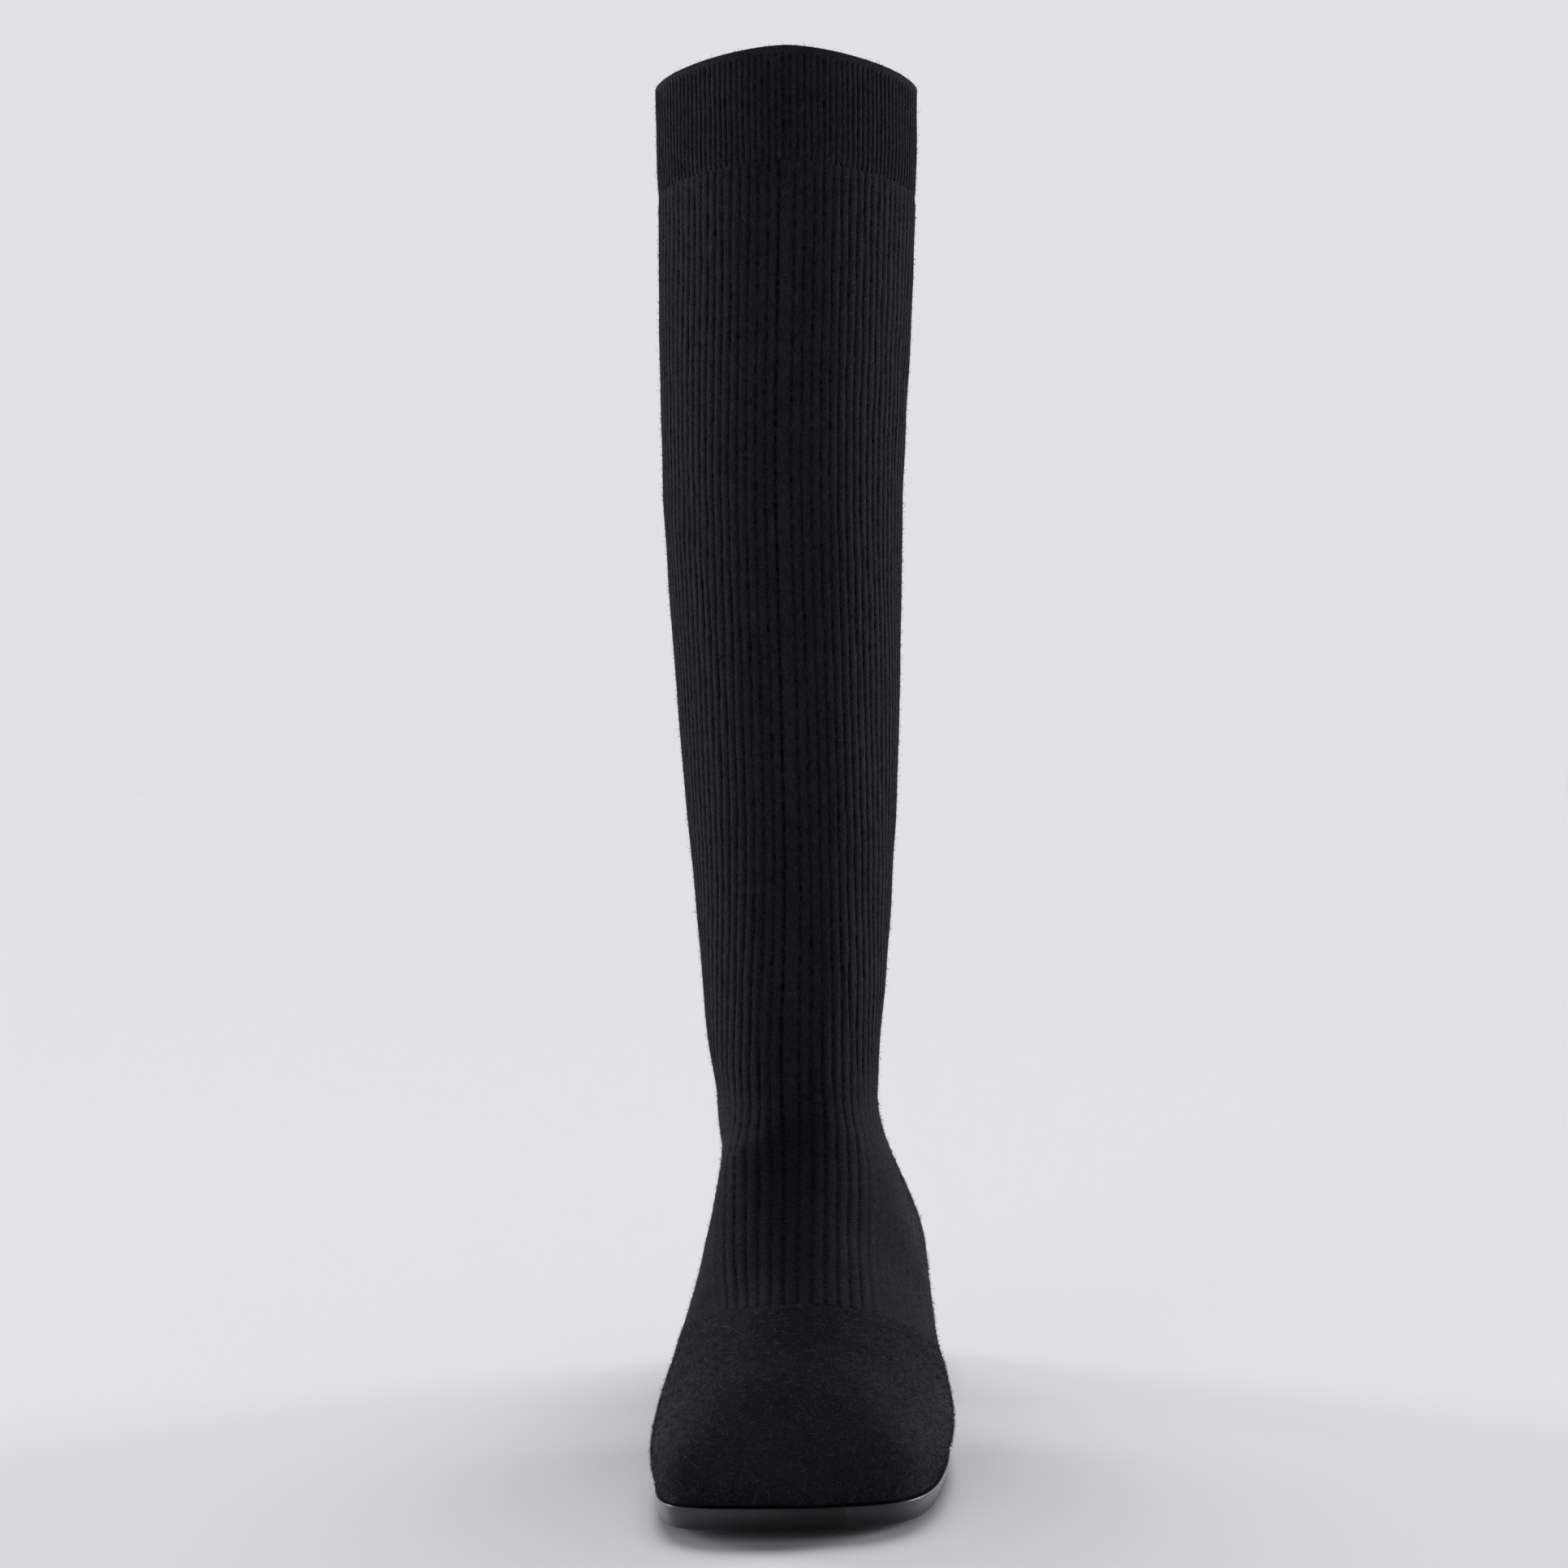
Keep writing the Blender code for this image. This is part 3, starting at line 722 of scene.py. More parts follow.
def knit_finish(name, centre, front_furrow, furrow_width, cuff=False):
    """Ribs of stitches: fuzzy tops, broken furrows darkened with painted shade, and a deeper front furrow
    with more painted shade.
    """
    f = yarn_finish(name, 0.04)
    across, rows = f.map()
    place = f.place()

    # The nearest furrow, by number from the front, and the distance from it in ribs
    narrower = 1.0 - rows.step(NARROW_ENDS / STITCH, WIDE_STARTS / STITCH)
    side = across.calc("ABSOLUTE") - centre / RIB_COLUMNS + narrower * (0.0 if cuff else NARROWER)
    number = side.calc("MAXIMUM", 0.0).calc("ROUND")
    away = (side - number).calc("ABSOLUTE")
    signed = number * across.calc("SIGN")

    # Plain knit: the band at the top edge and the felted sides of the foot
    band_row = (FRONT_AT[-1] - BAND) / STITCH
    on_foot = 1.0 - f.axis(place, "Z").step(FOOT_TOP - FOOT_FADE, FOOT_TOP)
    felted = on_foot * across.calc("ABSOLUTE").step(FELT_RIBS, FELT_RIBS + FELT_FADE)
    plain = rows.step(band_row - 0.5, band_row + 0.4).calc("MAXIMUM", felted * 0.85)

    # Ribs with wandering edges, and painted shade in the furrows, broken into dashes
    blur = f.noise(f.vector(signed * 3.7, rows * 0.33), 1.0, 3.0, 0.7) * 0.34
    rib = (away + blur - 0.17).step(-0.04, 0.42).calc("MAXIMUM", plain)
    dashes = f.noise(f.vector(signed * 7.3, rows * 0.55), 1.0, 2.0, 0.6)
    dark = 1.0 - (away + blur * 0.5 - 0.08).step(0.02, 0.22)
    dark = dark * dashes.step(0.44, 0.60) * (1.0 - plain)

    # The front furrow's painted shade, which widens towards the cuff's own just below the cuff
    funnel = rows.step((CUFF_AT - FUNNEL) / STITCH, CUFF_AT / STITCH) * (0.0 if cuff else 1.0)
    front_furrow_shade = (across - front_furrow - funnel * 0.35).calc("ABSOLUTE") - funnel * 0.5
    front_furrow_shade = (1.0 - front_furrow_shade.step(0.0, furrow_width)) * (dashes * 0.5 + 0.55)
    front_furrow_shade = front_furrow_shade * (1.0 - plain) * (1.0 - funnel * 0.25) * (0.8 if cuff else 1.0)

    # Stitches, fibres, lint, and patches and ribs of unlike tone
    strong = f.noise(f.vector(signed * 5.1, rows * 0.03), 1.0, 1.0)
    wave = f.noise(f.vector(across * 0.9, rows * 0.35), 1.0, 2.0)
    slant = (away - 0.5).calc("ABSOLUTE") * 1.6
    row = ((rows + slant + wave * 0.9) * TURN).calc("SINE") * 0.5 + 0.5
    fibre = f.noise(f.stretch(place, (1.0, 1.0, 0.35)), 1200.0, 3.0, 0.68, 0.8)
    lint = f.noise(f.stretch(place, (1.3, 1.3, 0.5)), 560.0, 2.0, 0.6, 1.2).step(0.58, 0.72)
    patch = f.noise(place, 110.0, 3.0)

    tone = rib * (strong * 0.30 + 0.13) + fibre.step(0.32, 0.70) * 0.46 + row * 0.05
    tone = tone + patch * 0.26 + lint * 0.22
    # Painted shade: the furrows and the front furrow darken the yarn, a tenth less on the foot
    feed_yarn(f, tone - (dark * 0.22 + front_furrow_shade * 0.24) * (1.0 - on_foot * 0.10))
    height = rib * 0.25 + row * (0.12 if cuff else 0.18) + fibre * 0.55 + lint * 0.2 - dark * 0.25
    f.bump(height, FIBRE_DEPTH)
    return f.material


def felt_finish():
    """Plain felted knit of the toe: matted fibres, with fine strokes near the sole, painted light on the
    nose and painted shade just above the sole.
    """
    f = yarn_finish("felted_knit", 0.08)
    place = f.place()
    height = f.axis(place, "Z")
    # low marks the felt just above the sole, for its strokes and for painted shade; nose marks the lower
    # toe, for painted light
    low = 1.0 - height.step(0.010, 0.024)
    nose = 1.0 - height.step(0.024, 0.040)
    fibre = f.noise(place, 1300.0, 3.0, 0.66, 0.9)
    lint = f.noise(f.stretch(place, (0.6, 1.0, 1.5)), 520.0, 2.0, 0.6, 1.6).step(0.60, 0.72)
    pits = f.noise(place, 420.0, 2.0, 0.5, 1.0).step(0.62, 0.72)
    patch = f.noise(place, 95.0, 3.0, 0.55)
    strokes = f.noise(f.stretch(place, (1.0, 1.0, 0.16)), 1100.0, 2.0, 0.6)
    strokes = low * (strokes.step(0.38, 0.62) - 0.5) + 0.5
    tone = fibre.step(0.30, 0.76) * 0.40 + lint * 0.26 + patch * 0.30 + strokes * 0.24 - pits * 0.22
    # Painted light lightens the nose, most at about 2.4 cm up and gone by 4 cm; painted shade takes it
    # back down towards the sole
    feed_yarn(f, tone - low * 0.34 + nose * 0.36 - 0.02)
    f.bump(fibre * 0.6 + lint * 0.3 + patch * 0.3 + strokes * 0.3 - pits * 0.2, FIBRE_DEPTH)
    return f.material


def lining_finish():
    """Smooth back of the knit, seen inside the collar."""
    f = Finish("knit_inside", 0.15, Roughness=0.95, Sheen_Weight=0.10, Sheen_Roughness=0.5)
    across, rows = f.map()
    wale = (across * TURN).calc("SINE") * 0.5 + 0.5
    row = ((rows + wale * 0.25) * TURN).calc("SINE") * 0.5 + 0.5
    fibre = f.noise(f.place(), 1400.0, 2.0, 0.6)
    f.feed("Base Color", f.blend(wale * 0.25 + row * 0.25 + fibre * 0.5, YARN_DARK, YARN_LIGHT))
    f.bump(wale * 0.4 + row * 0.3 + fibre * 0.3, 0.0004, 0.8)
    return f.material


def fibre_finish(name, colour):
    f = Finish(name, 0.25, Roughness=0.85, Sheen_Weight=0.05, Sheen_Roughness=0.4)
    low, high = (tuple(channel * share for channel in colour) for share in (0.6, 1.5))
    f.feed("Base Color", f.blend(f.noise(f.place(), 260.0), low, high))
    return f.material


def moulded_finish(name, low, high, roughness, grain, depth, gloss=0.5, coat=0.0):
    """Moulded rubber or plastic: faint cloudiness, fine grain and rubbed spots."""
    f = Finish(name, gloss, Coat_Weight=coat, Coat_Roughness=0.25)
    place = f.place()
    cloud = f.noise(place, 60.0, 3.0, 0.55)
    fine = f.noise(place, grain, 2.0, 0.5)
    rubbed = f.noise(f.stretch(place, (1.0, 1.0, 3.0)), 240.0, 4.0, 0.65).step(0.60, 0.78)
    f.feed("Base Color", f.blend(cloud * 0.7 + rubbed * 0.3, low, high))
    f.feed("Roughness", cloud * 0.10 + fine * 0.06 + rubbed * 0.10 + (roughness - 0.10))
    f.bump(fine * 0.5 + cloud * 0.3, depth, 0.6)
    return f


def sole_finish():
    """The sole's rubber, dull in front, with a gleam towards either side."""
    low, high = (0.010, 0.010, 0.011), (0.018, 0.018, 0.019)
    f = moulded_finish("sole_rubber", low, high, 0.34, 900.0, 0.00006, gloss=0.2)
    off = f.axis(f.place(), "X") - (SHIFT[0] + DULL_AT)
    inner = (off * -1.0).step(0.002, 0.042)
    outer = off.step(0.0055, 0.0065) * 0.35 + off.step(0.006, 0.034) * 0.5
    f.feed("Coat Weight", inner + outer)
    return f.material


def plastic_finish():
    low, high = (0.008, 0.008, 0.009), (0.014, 0.014, 0.015)
    return moulded_finish("heel_plastic", low, high, 0.30, 700.0, 0.00004, coat=0.25).material


def top_piece_finish():
    low, high = (0.012, 0.012, 0.012), (0.022, 0.022, 0.022)
    return moulded_finish("heel_rubber", low, high, 0.60, 1100.0, 0.00010).material


def board_finish():
    f = Finish("insole_board", 0.2, Roughness=0.9, Sheen_Weight=0.05)
    place = f.place()
    weave = f.noise(f.stretch(place, (1.0, 0.35, 1.0)), 1600.0, 2.0, 0.6)
    cloud = f.noise(place, 70.0, 3.0)
    tone = weave * 0.6 + cloud * 0.4
    f.feed("Base Color", f.blend(tone, (0.010, 0.0095, 0.010), (0.035, 0.033, 0.032)))
    f.bump(weave, 0.0003, 0.7)
    return f.material


# Knitted pieces

TOE_PITCH = 0.0066       # width of RIB_COLUMNS mesh columns on the felted toe

# Distance of the wide rib's middle from the front line, up that line
DRIFT = smooth([
    (front_from(y=PIVOT), -0.0034),
    (TOE_LINE, -0.0036),
    (front_from(y=0.110), -0.0035),
    (front_from(z=0.098), -0.0022),
    (front_from(z=0.135), -0.0011),
    (front_from(z=0.180), -0.0003),
    (FRONT_AT[-1], 0.0),
])
# Pitch of the ribs up the front line, as a share of their pitch at the collar
PITCH_ROWS = smooth([
    (front_from(y=PIVOT), 1.16),
    (TOE_LINE, 1.16),
    (front_from(y=0.110), 1.20),
    (front_from(z=0.098), 1.20),
    (front_from(z=0.135), 1.12),
    (front_from(z=0.180), 1.02),
    (front_from(z=0.230), 1.00),
    (FRONT_AT[-1], 1.00),
])


def to_side(distance):
    """0 over the top of the foot and 1 on its felted sides."""
    return ease((np.abs(distance) - 0.021) / 0.011)


def toe_seam(place, distance):
    """Depth of the groove where the ribs meet the felted toe."""
    groove = np.exp(-(((place - TOE_LINE) / 0.0013) ** 2))
    return 0.00018 * (groove * mix(1.0, 0.15, to_side(distance)))


def shaft_height(place, column, distance, half, base):
    """Lift of the ribs: full on the leg and instep, felted down on the foot's sides."""
    number = np.round(column / RIB_COLUMNS)
    sway = 0.60 * noise(3, place * 120.0, number * 2.4) + 0.30 * noise(7, place * 480.0, number * 3.1)
    sway *= np.clip(np.abs(column) / (2.0 * RIB_COLUMNS), 0.0, 1.0)
    widened = ease((place - NARROW_ENDS) / (WIDE_STARTS - NARROW_ENDS))
    narrower = NARROWER * RIB_COLUMNS * (1.0 - widened)
    dip = furrow(column + sway + np.sign(column) * narrower, CENTRE_COLUMNS, 1.35)
    deeper = np.exp(-(((column + CENTRE_COLUMNS) / 1.5) ** 2)) * ease((place - TOE_LINE) / 0.16)
    on_foot = ease((FOOT_TOP - base[:, 2]) / FOOT_FADE)
    depth = RIB_DEPTH * mix(1.0, 0.60, on_foot) * mix(1.0, 0.20, on_foot * to_side(distance))
    uneven = 1.0 + 0.30 * noise(5, place * 420.0, number * 1.7)
    away_from_back = ease((half - np.abs(distance)) / 0.004)
    ribs = depth * (0.55 - dip * uneven * away_from_back - 0.35 * deeper)
    puff = 0.00012 * noise(9, place * 140.0, distance * 110.0)
    hem = ease((CUFF_AT - place) / 0.0012)
    near_cuff = ease((place - CUFF_AT) / 0.02 + 1.0)
    return ribs * hem + puff - toe_seam(place, distance) - 0.0001 * (1.0 - hem) + 0.00015 * near_cuff


def toe_height(place, column, distance, half, base):
    """Felt: soft unevenness, faint folds across the toe and a seam at the toe line."""
    centred = np.exp(-((base[:, 0] / 0.022) ** 2))
    fold = np.exp(-(((place - 0.0175) / 0.0022) ** 2))
    fold += 0.8 * np.exp(-(((place - 0.0265 - 0.05 * base[:, 0]) / 0.0026) ** 2))
    puff = 0.00008 * noise(21, base[:, 0] * 190.0, place * 170.0)
    edge_in = 1.0 - ease(place / 0.002)
    return puff - 0.00016 * fold * centred - toe_seam(place, distance) + 0.0001 - 0.0002 * edge_in


def cuff_height(place, column, distance, half, base):
    """Fine ribs under a plain band, with a wide furrow down the front."""
    number = np.round(column / RIB_COLUMNS)
    sway = 0.25 * noise(31, place * 110.0, number * 2.1)
    dip = furrow(column + sway, RIB_COLUMNS * 0.5, 1.5)
    uneven = 1.0 + 0.25 * noise(35, place * 430.0, number * 1.9)
    front = 1.3 * np.exp(-(((column + 1.5) / 5.5) ** 2))
    away_from_back = ease((half - np.abs(distance)) / 0.003)
    under_band = ease((FRONT_AT[-1] - place - BAND) / 0.0012)
    furrows = under_band * away_from_back * np.maximum(dip * uneven, front)
    puff = 0.00008 * noise(33, place * 170.0, distance * 150.0)
    tuck = 1.0 - ease((place - CUFF_AT) / 0.0016)
    rise = ease((place - CUFF_AT) / 0.0110)
    return CUFF_STEP * mix(0.45, 1.0, rise) + CUFF_RIB_DEPTH * (0.45 - furrows) + puff - 0.00030 * tuck


def pitch(places, rib):
    stretch = np.interp(places, PITCH_ROWS[:, 0], PITCH_ROWS[:, 1])
    return rib * stretch / RIB_COLUMNS


def make_shaft(material):
    ankle_top = front_from(z=0.160)
    leg = np.linspace(CUFF_AT, ankle_top, 72)
    ankle = np.linspace(ankle_top, CORNER_FRONT, 30)[1:]
    instep = np.linspace(CORNER_FRONT, TOE_LINE, 34)[1:]
    places = np.concatenate([leg, ankle, instep, TOE_LINE + np.array([0.0007, 0.0015, 0.0024])])
    places = np.unique(places.round(6))
    points, uv = ribbed(places, pitch(places, RIB), shaft_height)
    return grid_mesh("knit_shaft", points, uv, material)


def make_toe(material):
    nose_top = front_from(y=PIVOT - 0.002)
    nose = np.linspace(0.0, nose_top, 44)
    vamp = np.linspace(nose_top, TOE_LINE - 0.002, 34)[1:]
    places = np.concatenate([nose, vamp, TOE_LINE - np.array([0.0013, 0.0007, 0.0])])
    points, uv = ribbed(places, pitch(places, TOE_PITCH), toe_height)
    return grid_mesh("felted_toe", points, uv, material)


def make_cuff(material):
    """Cuff with its rolled top edge, turned in over the wall and down inside."""
    roll = 0.0010
    top = FRONT_AT[-1] - roll
    places = np.concatenate([
        CUFF_AT + np.array([-0.0002, 0.0006, 0.0012]),
        np.linspace(CUFF_AT + 0.004, top - 0.004, 9),
        top - np.array([0.0028, 0.0020, 0.0012, 0.0005, 0.0]),
    ])
    points, uv = ribbed(places, pitch(places, CUFF_RIB), cuff_height)
    middle = np.array([leg_at(BOOT_HEIGHT)[3], np.mean(points[-1, :, 1]), 0.0])
    inward = middle - points[-1] * [1.0, 1.0, 0.0]
    inward /= np.linalg.norm(inward, axis=1, keepdims=True)
    half = (WALL + CUFF_STEP) / 2.0
    lip = []
    for turn in np.linspace(0.0, math.pi, 8)[1:]:
        rise = [0.0, 0.0, roll * math.sin(turn)]
        lip.append(points[-1] + inward * half * (1.0 - math.cos(turn)) + rise)
    for drop in (0.004, 0.010, 0.016):
        lip.append(points[-1] + inward * (2.0 * half + 0.0001) - [0.0, 0.0, drop])
    rows = uv[-1][None] + np.array([[[0.0, 0.4 * (i + 1)]] for i in range(len(lip))])
    points = np.concatenate([points, np.array(lip)])
    uv = np.concatenate([uv, rows])
    return grid_mesh("knit_cuff", points, uv, material)


def make_lining(material):
    """The wall's inner face, from over the toes up behind the cuff's turned-in edge."""
    ankle_top = front_from(z=0.150)
    places = np.concatenate([
        np.linspace(front_from(y=0.050), CORNER_FRONT, 26),
        np.linspace(CORNER_FRONT, ankle_top, 24)[1:],
        np.linspace(ankle_top, front_from(z=BOOT_HEIGHT - 0.009), 44)[1:],
    ])
    grid, normal, _ = knit_rows(places)
    inner = grid - WALL * normal
    across = np.array([travel(line) for line in inner]) / RIB
    along_boot = np.repeat((places / STITCH)[:, None], inner.shape[1], axis=1)
    uv = np.stack([across, along_boot], axis=-1)
    return grid_mesh("knit_inside", inner, uv, material, flip=True)


# Sole and heel

def band(share, levels, across=1.0):
    """Ring round the sole at one station; with across 0 it folds onto the middle."""
    points = []
    for side, run in ((1, levels), (-1, levels[::-1])):
        for grow, rise in run:
            y = behind(share, grow)
            middle = (edge(1, share, grow) + edge(-1, share, grow)) / 2.0
            points.append((mix(middle, edge(side, share, grow), across), y, underside(y) + rise))
    return np.array(points)


def ring_mesh(name, rings, material, crease=40.0):
    """Closed solid through rings of points."""
    rings = [np.vstack([r, r[:1]]) for r in rings]
    bm = bmesh.new()
    bmesh.ops.create_grid(bm, x_segments=len(rings[0]) - 1, y_segments=len(rings) - 1, size=1.0)
    for vertex, place in zip(bm.verts, np.vstack(rings) + SHIFT):
        vertex.co = place.tolist()
    bmesh.ops.remove_doubles(bm, verts=bm.verts, dist=1e-6)
    bmesh.ops.dissolve_degenerate(bm, edges=bm.edges, dist=1e-7)
    open_edges = [e for e in bm.edges if e.is_boundary]
    if open_edges:
        bmesh.ops.holes_fill(bm, edges=open_edges, sides=0)
    bmesh.ops.recalc_face_normals(bm, faces=bm.faces)
    piece = new_piece(name, bm, material)
    piece.data.set_sharp_from_angle(angle=math.radians(crease))
    return piece


def make_outsole(material):
    """Outsole with a slightly rounded upper edge and a bevelled lower one."""
    levels = [
        (-0.0030, SOLE_THICKNESS),
        (-0.0004, SOLE_THICKNESS),
        (-0.0001, SOLE_THICKNESS - 0.0001),
        (0.0, SOLE_THICKNESS - 0.0005),
        (-0.5 * SOLE_TAPER, SOLE_THICKNESS / 2.0),
        (-SOLE_TAPER, SOLE_BEVEL),
        (-SOLE_TAPER - 0.3 * SOLE_BEVEL, 0.3 * SOLE_BEVEL),
        (-SOLE_TAPER - SOLE_BEVEL, 0.0),
    ]
    shares = (1.0 - np.cos(np.linspace(0.0, math.pi, 220))) / 2.0
    ends = np.linspace(0.0, 1.0, 7)[:-1]
    rings = [band(0.0, levels, across) for across in ends]
    rings += [band(s, levels) for s in shares]
    rings += [band(1.0, levels, across) for across in ends[::-1]]
    return ring_mesh("sole_visual", rings, material, 50.0)


def heel_ring(grow, height):
    turn = np.sin(np.linspace(0.0, math.pi / 2.0, 60))
    shares = mix(HEEL_BREAST, 1.0, turn)
    sides = []
    for side in SIDES:
        sides.append(np.stack([
            edge(side, shares, grow),
            behind(shares, grow) - grow * (1.0 - turn),
            np.full(len(shares), height),
        ], axis=1))
    return np.vstack([sides[0], sides[1][::-1]])


def make_heel(plastic, rubber):
    seat = -(SOLE_TAPER + SOLE_BEVEL + HEEL_MARGIN)
    foot = seat - HEEL_TAPER
    low, high = TOP_PIECE_THICKNESS + GAP, HEEL_HEIGHT - GAP
    levels = [(foot, low), (mix(foot, seat, 0.35), mix(low, high, 0.5)), (seat, high)]
    block = ring_mesh("heel_visual", [heel_ring(*level) for level in levels], plastic)
    levels = [(foot - 0.0006, 0.0), (foot - 0.0001, 0.0005), (foot, 0.0012), (foot, TOP_PIECE_THICKNESS)]
    lift = ring_mesh("top_piece_visual", [heel_ring(*level) for level in levels], rubber)
    return block, lift


# Loose fibres: thin curved blades that stand on the knit

def triangles(piece):
    """Corners of a piece's triangles."""
    mesh = piece.data
    mesh.calc_loop_triangles()
    where = np.empty(len(mesh.vertices) * 3)
    mesh.vertices.foreach_get("co", where)
    index = np.empty(len(mesh.loop_triangles) * 3, dtype=int)
    mesh.loop_triangles.foreach_get("vertices", index)
    return where.reshape(-1, 3)[index.reshape(-1, 3)]


def scatter(rng, sources, count):
    """Evenly strewn places on the source pieces, with their normals."""
    corners = np.concatenate([triangles(piece) for piece in sources])
    side = np.cross(corners[:, 1] - corners[:, 0], corners[:, 2] - corners[:, 0])
    area = np.linalg.norm(side, axis=1)
    pick = np.searchsorted(np.cumsum(area), rng.uniform(0.0, area.sum(), count))
    pick = np.minimum(pick, len(area) - 1)
    a, b = rng.uniform(size=(2, count, 1))
    outside = (a + b) > 1.0
    a, b = np.where(outside, 1.0 - a, a), np.where(outside, 1.0 - b, b)
    tri = corners[pick]
    root = tri[:, 0] + a * (tri[:, 1] - tri[:, 0]) + b * (tri[:, 2] - tri[:, 0])
    return root, side[pick] / area[pick][:, None]


def unit(vectors):
    return vectors / np.linalg.norm(vectors, axis=1, keepdims=True)


def make_fibres(name, sources, count, lengths, width, flatness, material, seed):
    """Blades of one quad and a tip; flatness runs from 0, standing, to 1, lying."""
    rng = np.random.RandomState(seed)
    root, normal = scatter(rng, sources, count)
    wild = rng.normal(size=(count, 3))
    wild = unit(wild - (wild * normal).sum(1, keepdims=True) * normal)
    stand = rng.uniform(0.15, 1.0, (count, 1)) * (1.0 - flatness)
    way = unit(normal * stand + wild * (1.0 - 0.6 * stand))
    length = rng.uniform(*lengths, (count, 1)) * rng.uniform(0.4, 1.0, (count, 1))
    bend = np.cross(normal, wild) * rng.uniform(-0.6, 0.6, (count, 1))
    bend -= normal * stand * rng.uniform(0.0, 0.35, (count, 1))
    half = unit(np.cross(way, rng.normal(size=(count, 3)))) * width / 2.0
    root = root + normal * mix(-0.00008, 0.00008, flatness)
    middle = root + way * length * 0.5 + bend * length * 0.12
    tip = root + way * length + bend * length * 0.45
    points = np.stack([root - half, root + half, middle - half * 0.8, middle + half * 0.8, tip], axis=1)
    start = 5 * np.arange(count)
    quads = np.stack([start, start + 1, start + 3, start + 2], axis=1)
    tips = np.stack([start + 2, start + 3, start + 4], axis=1)
    mesh = bpy.data.meshes.new(name)
    mesh.from_pydata(points.reshape(-1, 3).tolist(), [], quads.tolist() + tips.tolist())
    return add_piece(name, mesh, material)


# Pieces in the frame

knit = knit_finish("shaft_knit", CENTRE_COLUMNS, -CENTRE_COLUMNS / RIB_COLUMNS, 0.26)
cuff_knit = knit_finish("cuff_knit", RIB_COLUMNS * 0.5, -0.2, 1.25, cuff=True)
shaft = make_shaft(knit)
cuff = make_cuff(cuff_knit)
toe = make_toe(felt_finish())
lining = make_lining(lining_finish())
dark = fibre_finish("dark_fibre", (0.018, 0.0165, 0.025))
middle = fibre_finish("middle_fibre", (0.034, 0.031, 0.044))
pale = fibre_finish("pale_fibre", (0.058, 0.054, 0.074))
fuzz = [
    make_fibres("shaft_fuzz", [shaft, cuff], 60000, (0.0008, 0.0028), 0.00010, 0.15, dark, 41),
    make_fibres("toe_fuzz", [toe], 32000, (0.0007, 0.0026), 0.00010, 0.30, dark, 43),
    make_fibres("toe_lint", [toe], 4200, (0.0010, 0.0034), 0.00013, 0.93, pale, 47),
    make_fibres("shaft_lint", [shaft, cuff], 24000, (0.0005, 0.0020), 0.00011, 0.90, middle, 53),
]
for piece in (shaft, cuff, toe, lining, *fuzz):
    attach(piece, "root")
    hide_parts("upper")

outsole = make_outsole(sole_finish())
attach(outsole, "root")
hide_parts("outsole")
block, lift = make_heel(plastic_finish(), top_piece_finish())
for piece, node, slot in ((block, "heel_block", "heel_plastic"), (lift, "heel_top_piece", "heel_rubber")):
    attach(piece, "root")
    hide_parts(node)
for slot in bpy.data.objects["insole"].material_slots:
    slot.material = board_finish()


# Floor, backdrop, light and camera

PHOTO_WIDTH = 1932.0     # of the photo, in its pixels
FOCAL_PIXELS = 2990.0    # the camera's focal length in the same pixels
SENSOR = 36.0
EYE_HEIGHT = 0.2050
EYE_DISTANCE = 0.6537    # from the toe's tip
FLOOR_SIZE = 60.0
PAPER = (0.775, 0.790, 0.815, 1.0)
BACKDROP = (0.742, 0.757, 0.779, 1.0)
SKY_COLOUR = (0.95, 0.96, 1.0, 1.0)
SKY = 0.18


def make_stage():
    """Wide level floor of pale paper."""
    bm = bmesh.new()
    bmesh.ops.create_grid(bm, x_segments=1, y_segments=1, size=FLOOR_SIZE)
    paper = Finish("studio_paper", 0.0, Roughness=0.95, Base_Color=PAPER)
    new_piece("studio_floor", bm, paper.material)


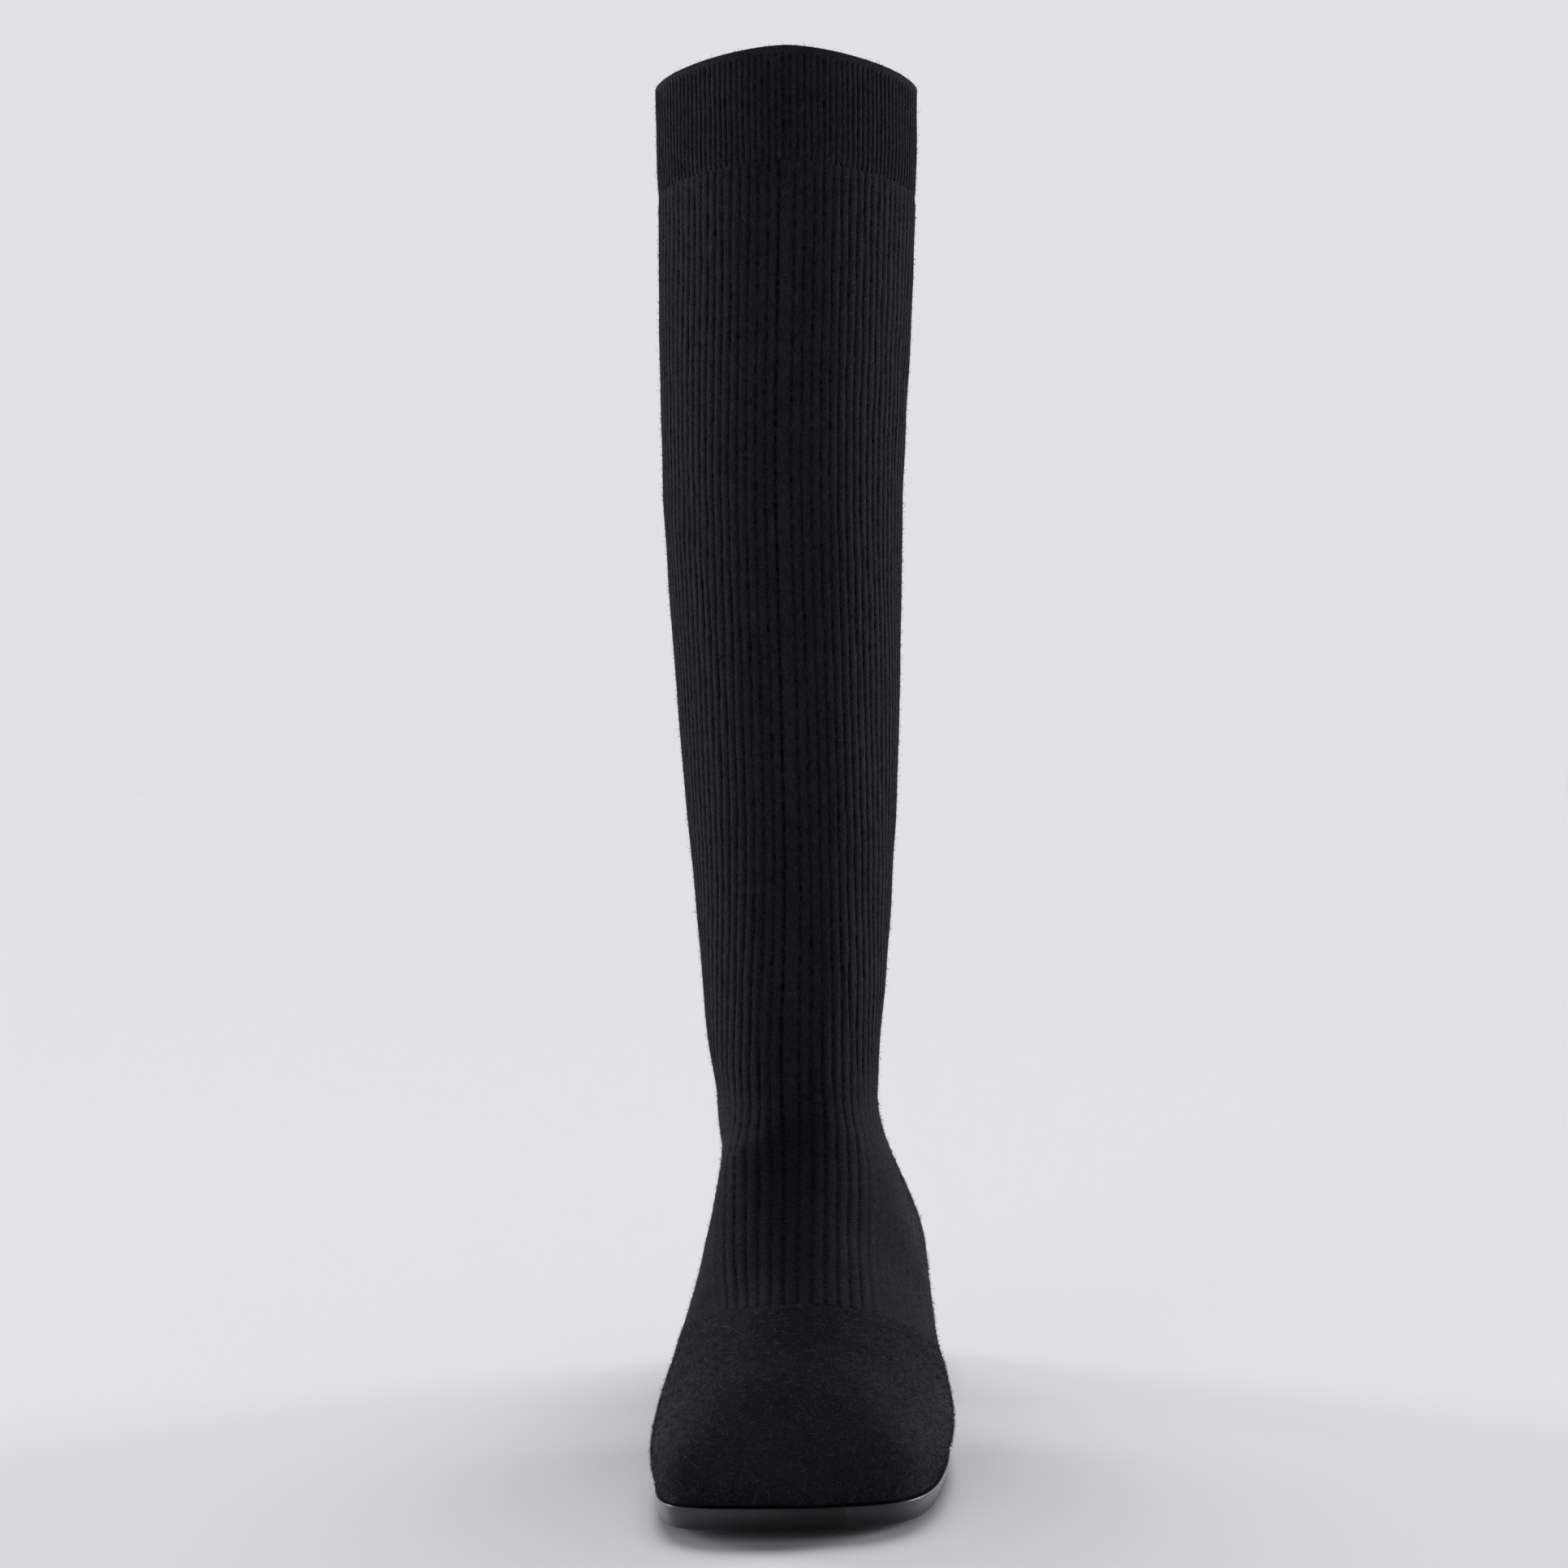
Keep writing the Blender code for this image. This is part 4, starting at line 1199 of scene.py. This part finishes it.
def make_world():
    """Dim soft sky over the floor; the camera sees it as pale paper."""
    world = bpy.data.worlds.new("studio")
    world.use_nodes = True
    world.node_tree.nodes.clear()
    sky = Nodes(world.node_tree)
    light = sky.add("ShaderNodeBackground", {"Color": SKY_COLOUR, "Strength": SKY})
    seen = sky.add("ShaderNodeBackground", {"Color": BACKDROP})
    from_camera = Value(sky, sky.add("ShaderNodeLightPath", {}).outputs["Is Camera Ray"])
    sockets = {0: from_camera, 1: Value(sky, light.outputs[0]), 2: Value(sky, seen.outputs[0])}
    both = sky.add("ShaderNodeMixShader", sockets)
    sky.add("ShaderNodeOutputWorld", {"Surface": Value(sky, both.outputs[0])})
    bpy.context.scene.world = world


def add_lamp(name, light, place, target):
    lamp = bpy.data.objects.new(name, light)
    lamp.location = place
    lamp.rotation_euler = (place - target).to_track_quat("Z", "Y").to_euler()
    bpy.context.scene.collection.objects.link(lamp)


def add_sun(name, azimuth, elevation, angle, strength):
    """Far soft light; azimuth 0 stands behind the boot and turns to the right."""
    light = bpy.data.lights.new(name, "SUN")
    light.angle = math.radians(angle)
    light.energy = strength
    turn, rise = math.radians(azimuth), math.radians(elevation)
    towards = Vector((math.sin(turn) * math.cos(rise), math.cos(turn) * math.cos(rise), math.sin(rise)))
    add_lamp(name, light, towards * 3.0, Vector())


def add_panel(name, place, target, size, power):
    light = bpy.data.lights.new(name, "AREA")
    light.size = size
    light.energy = power
    add_lamp(name, light, Vector(place), Vector(target))


def add_camera():
    """Level camera in front of the toe, as the photo was taken."""
    camera = bpy.data.objects.new("camera", bpy.data.cameras.new("camera"))
    camera.data.sensor_width = SENSOR
    camera.data.lens = FOCAL_PIXELS / PHOTO_WIDTH * SENSOR
    camera.data.clip_start = 0.01
    camera.location = (SHIFT[0], SHIFT[1] - EYE_DISTANCE, EYE_HEIGHT)
    camera.rotation_euler = (math.pi / 2.0, 0.0, 0.0)
    bpy.context.scene.collection.objects.link(camera)
    bpy.context.scene.camera = camera


make_stage()
make_world()
add_sun("low_left", -60.0, 3.0, 22.0, 4.2)
add_sun("low_right", 60.0, 3.0, 22.0, 4.2)
add_sun("above", 0.0, 69.0, 32.0, 2.0)
add_panel("front_left", (-1.5, -1.6, 0.9), (0.0, 0.0, 0.22), 1.4, 3.0)
add_camera()
bpy.context.scene.view_settings.view_transform = "Standard"
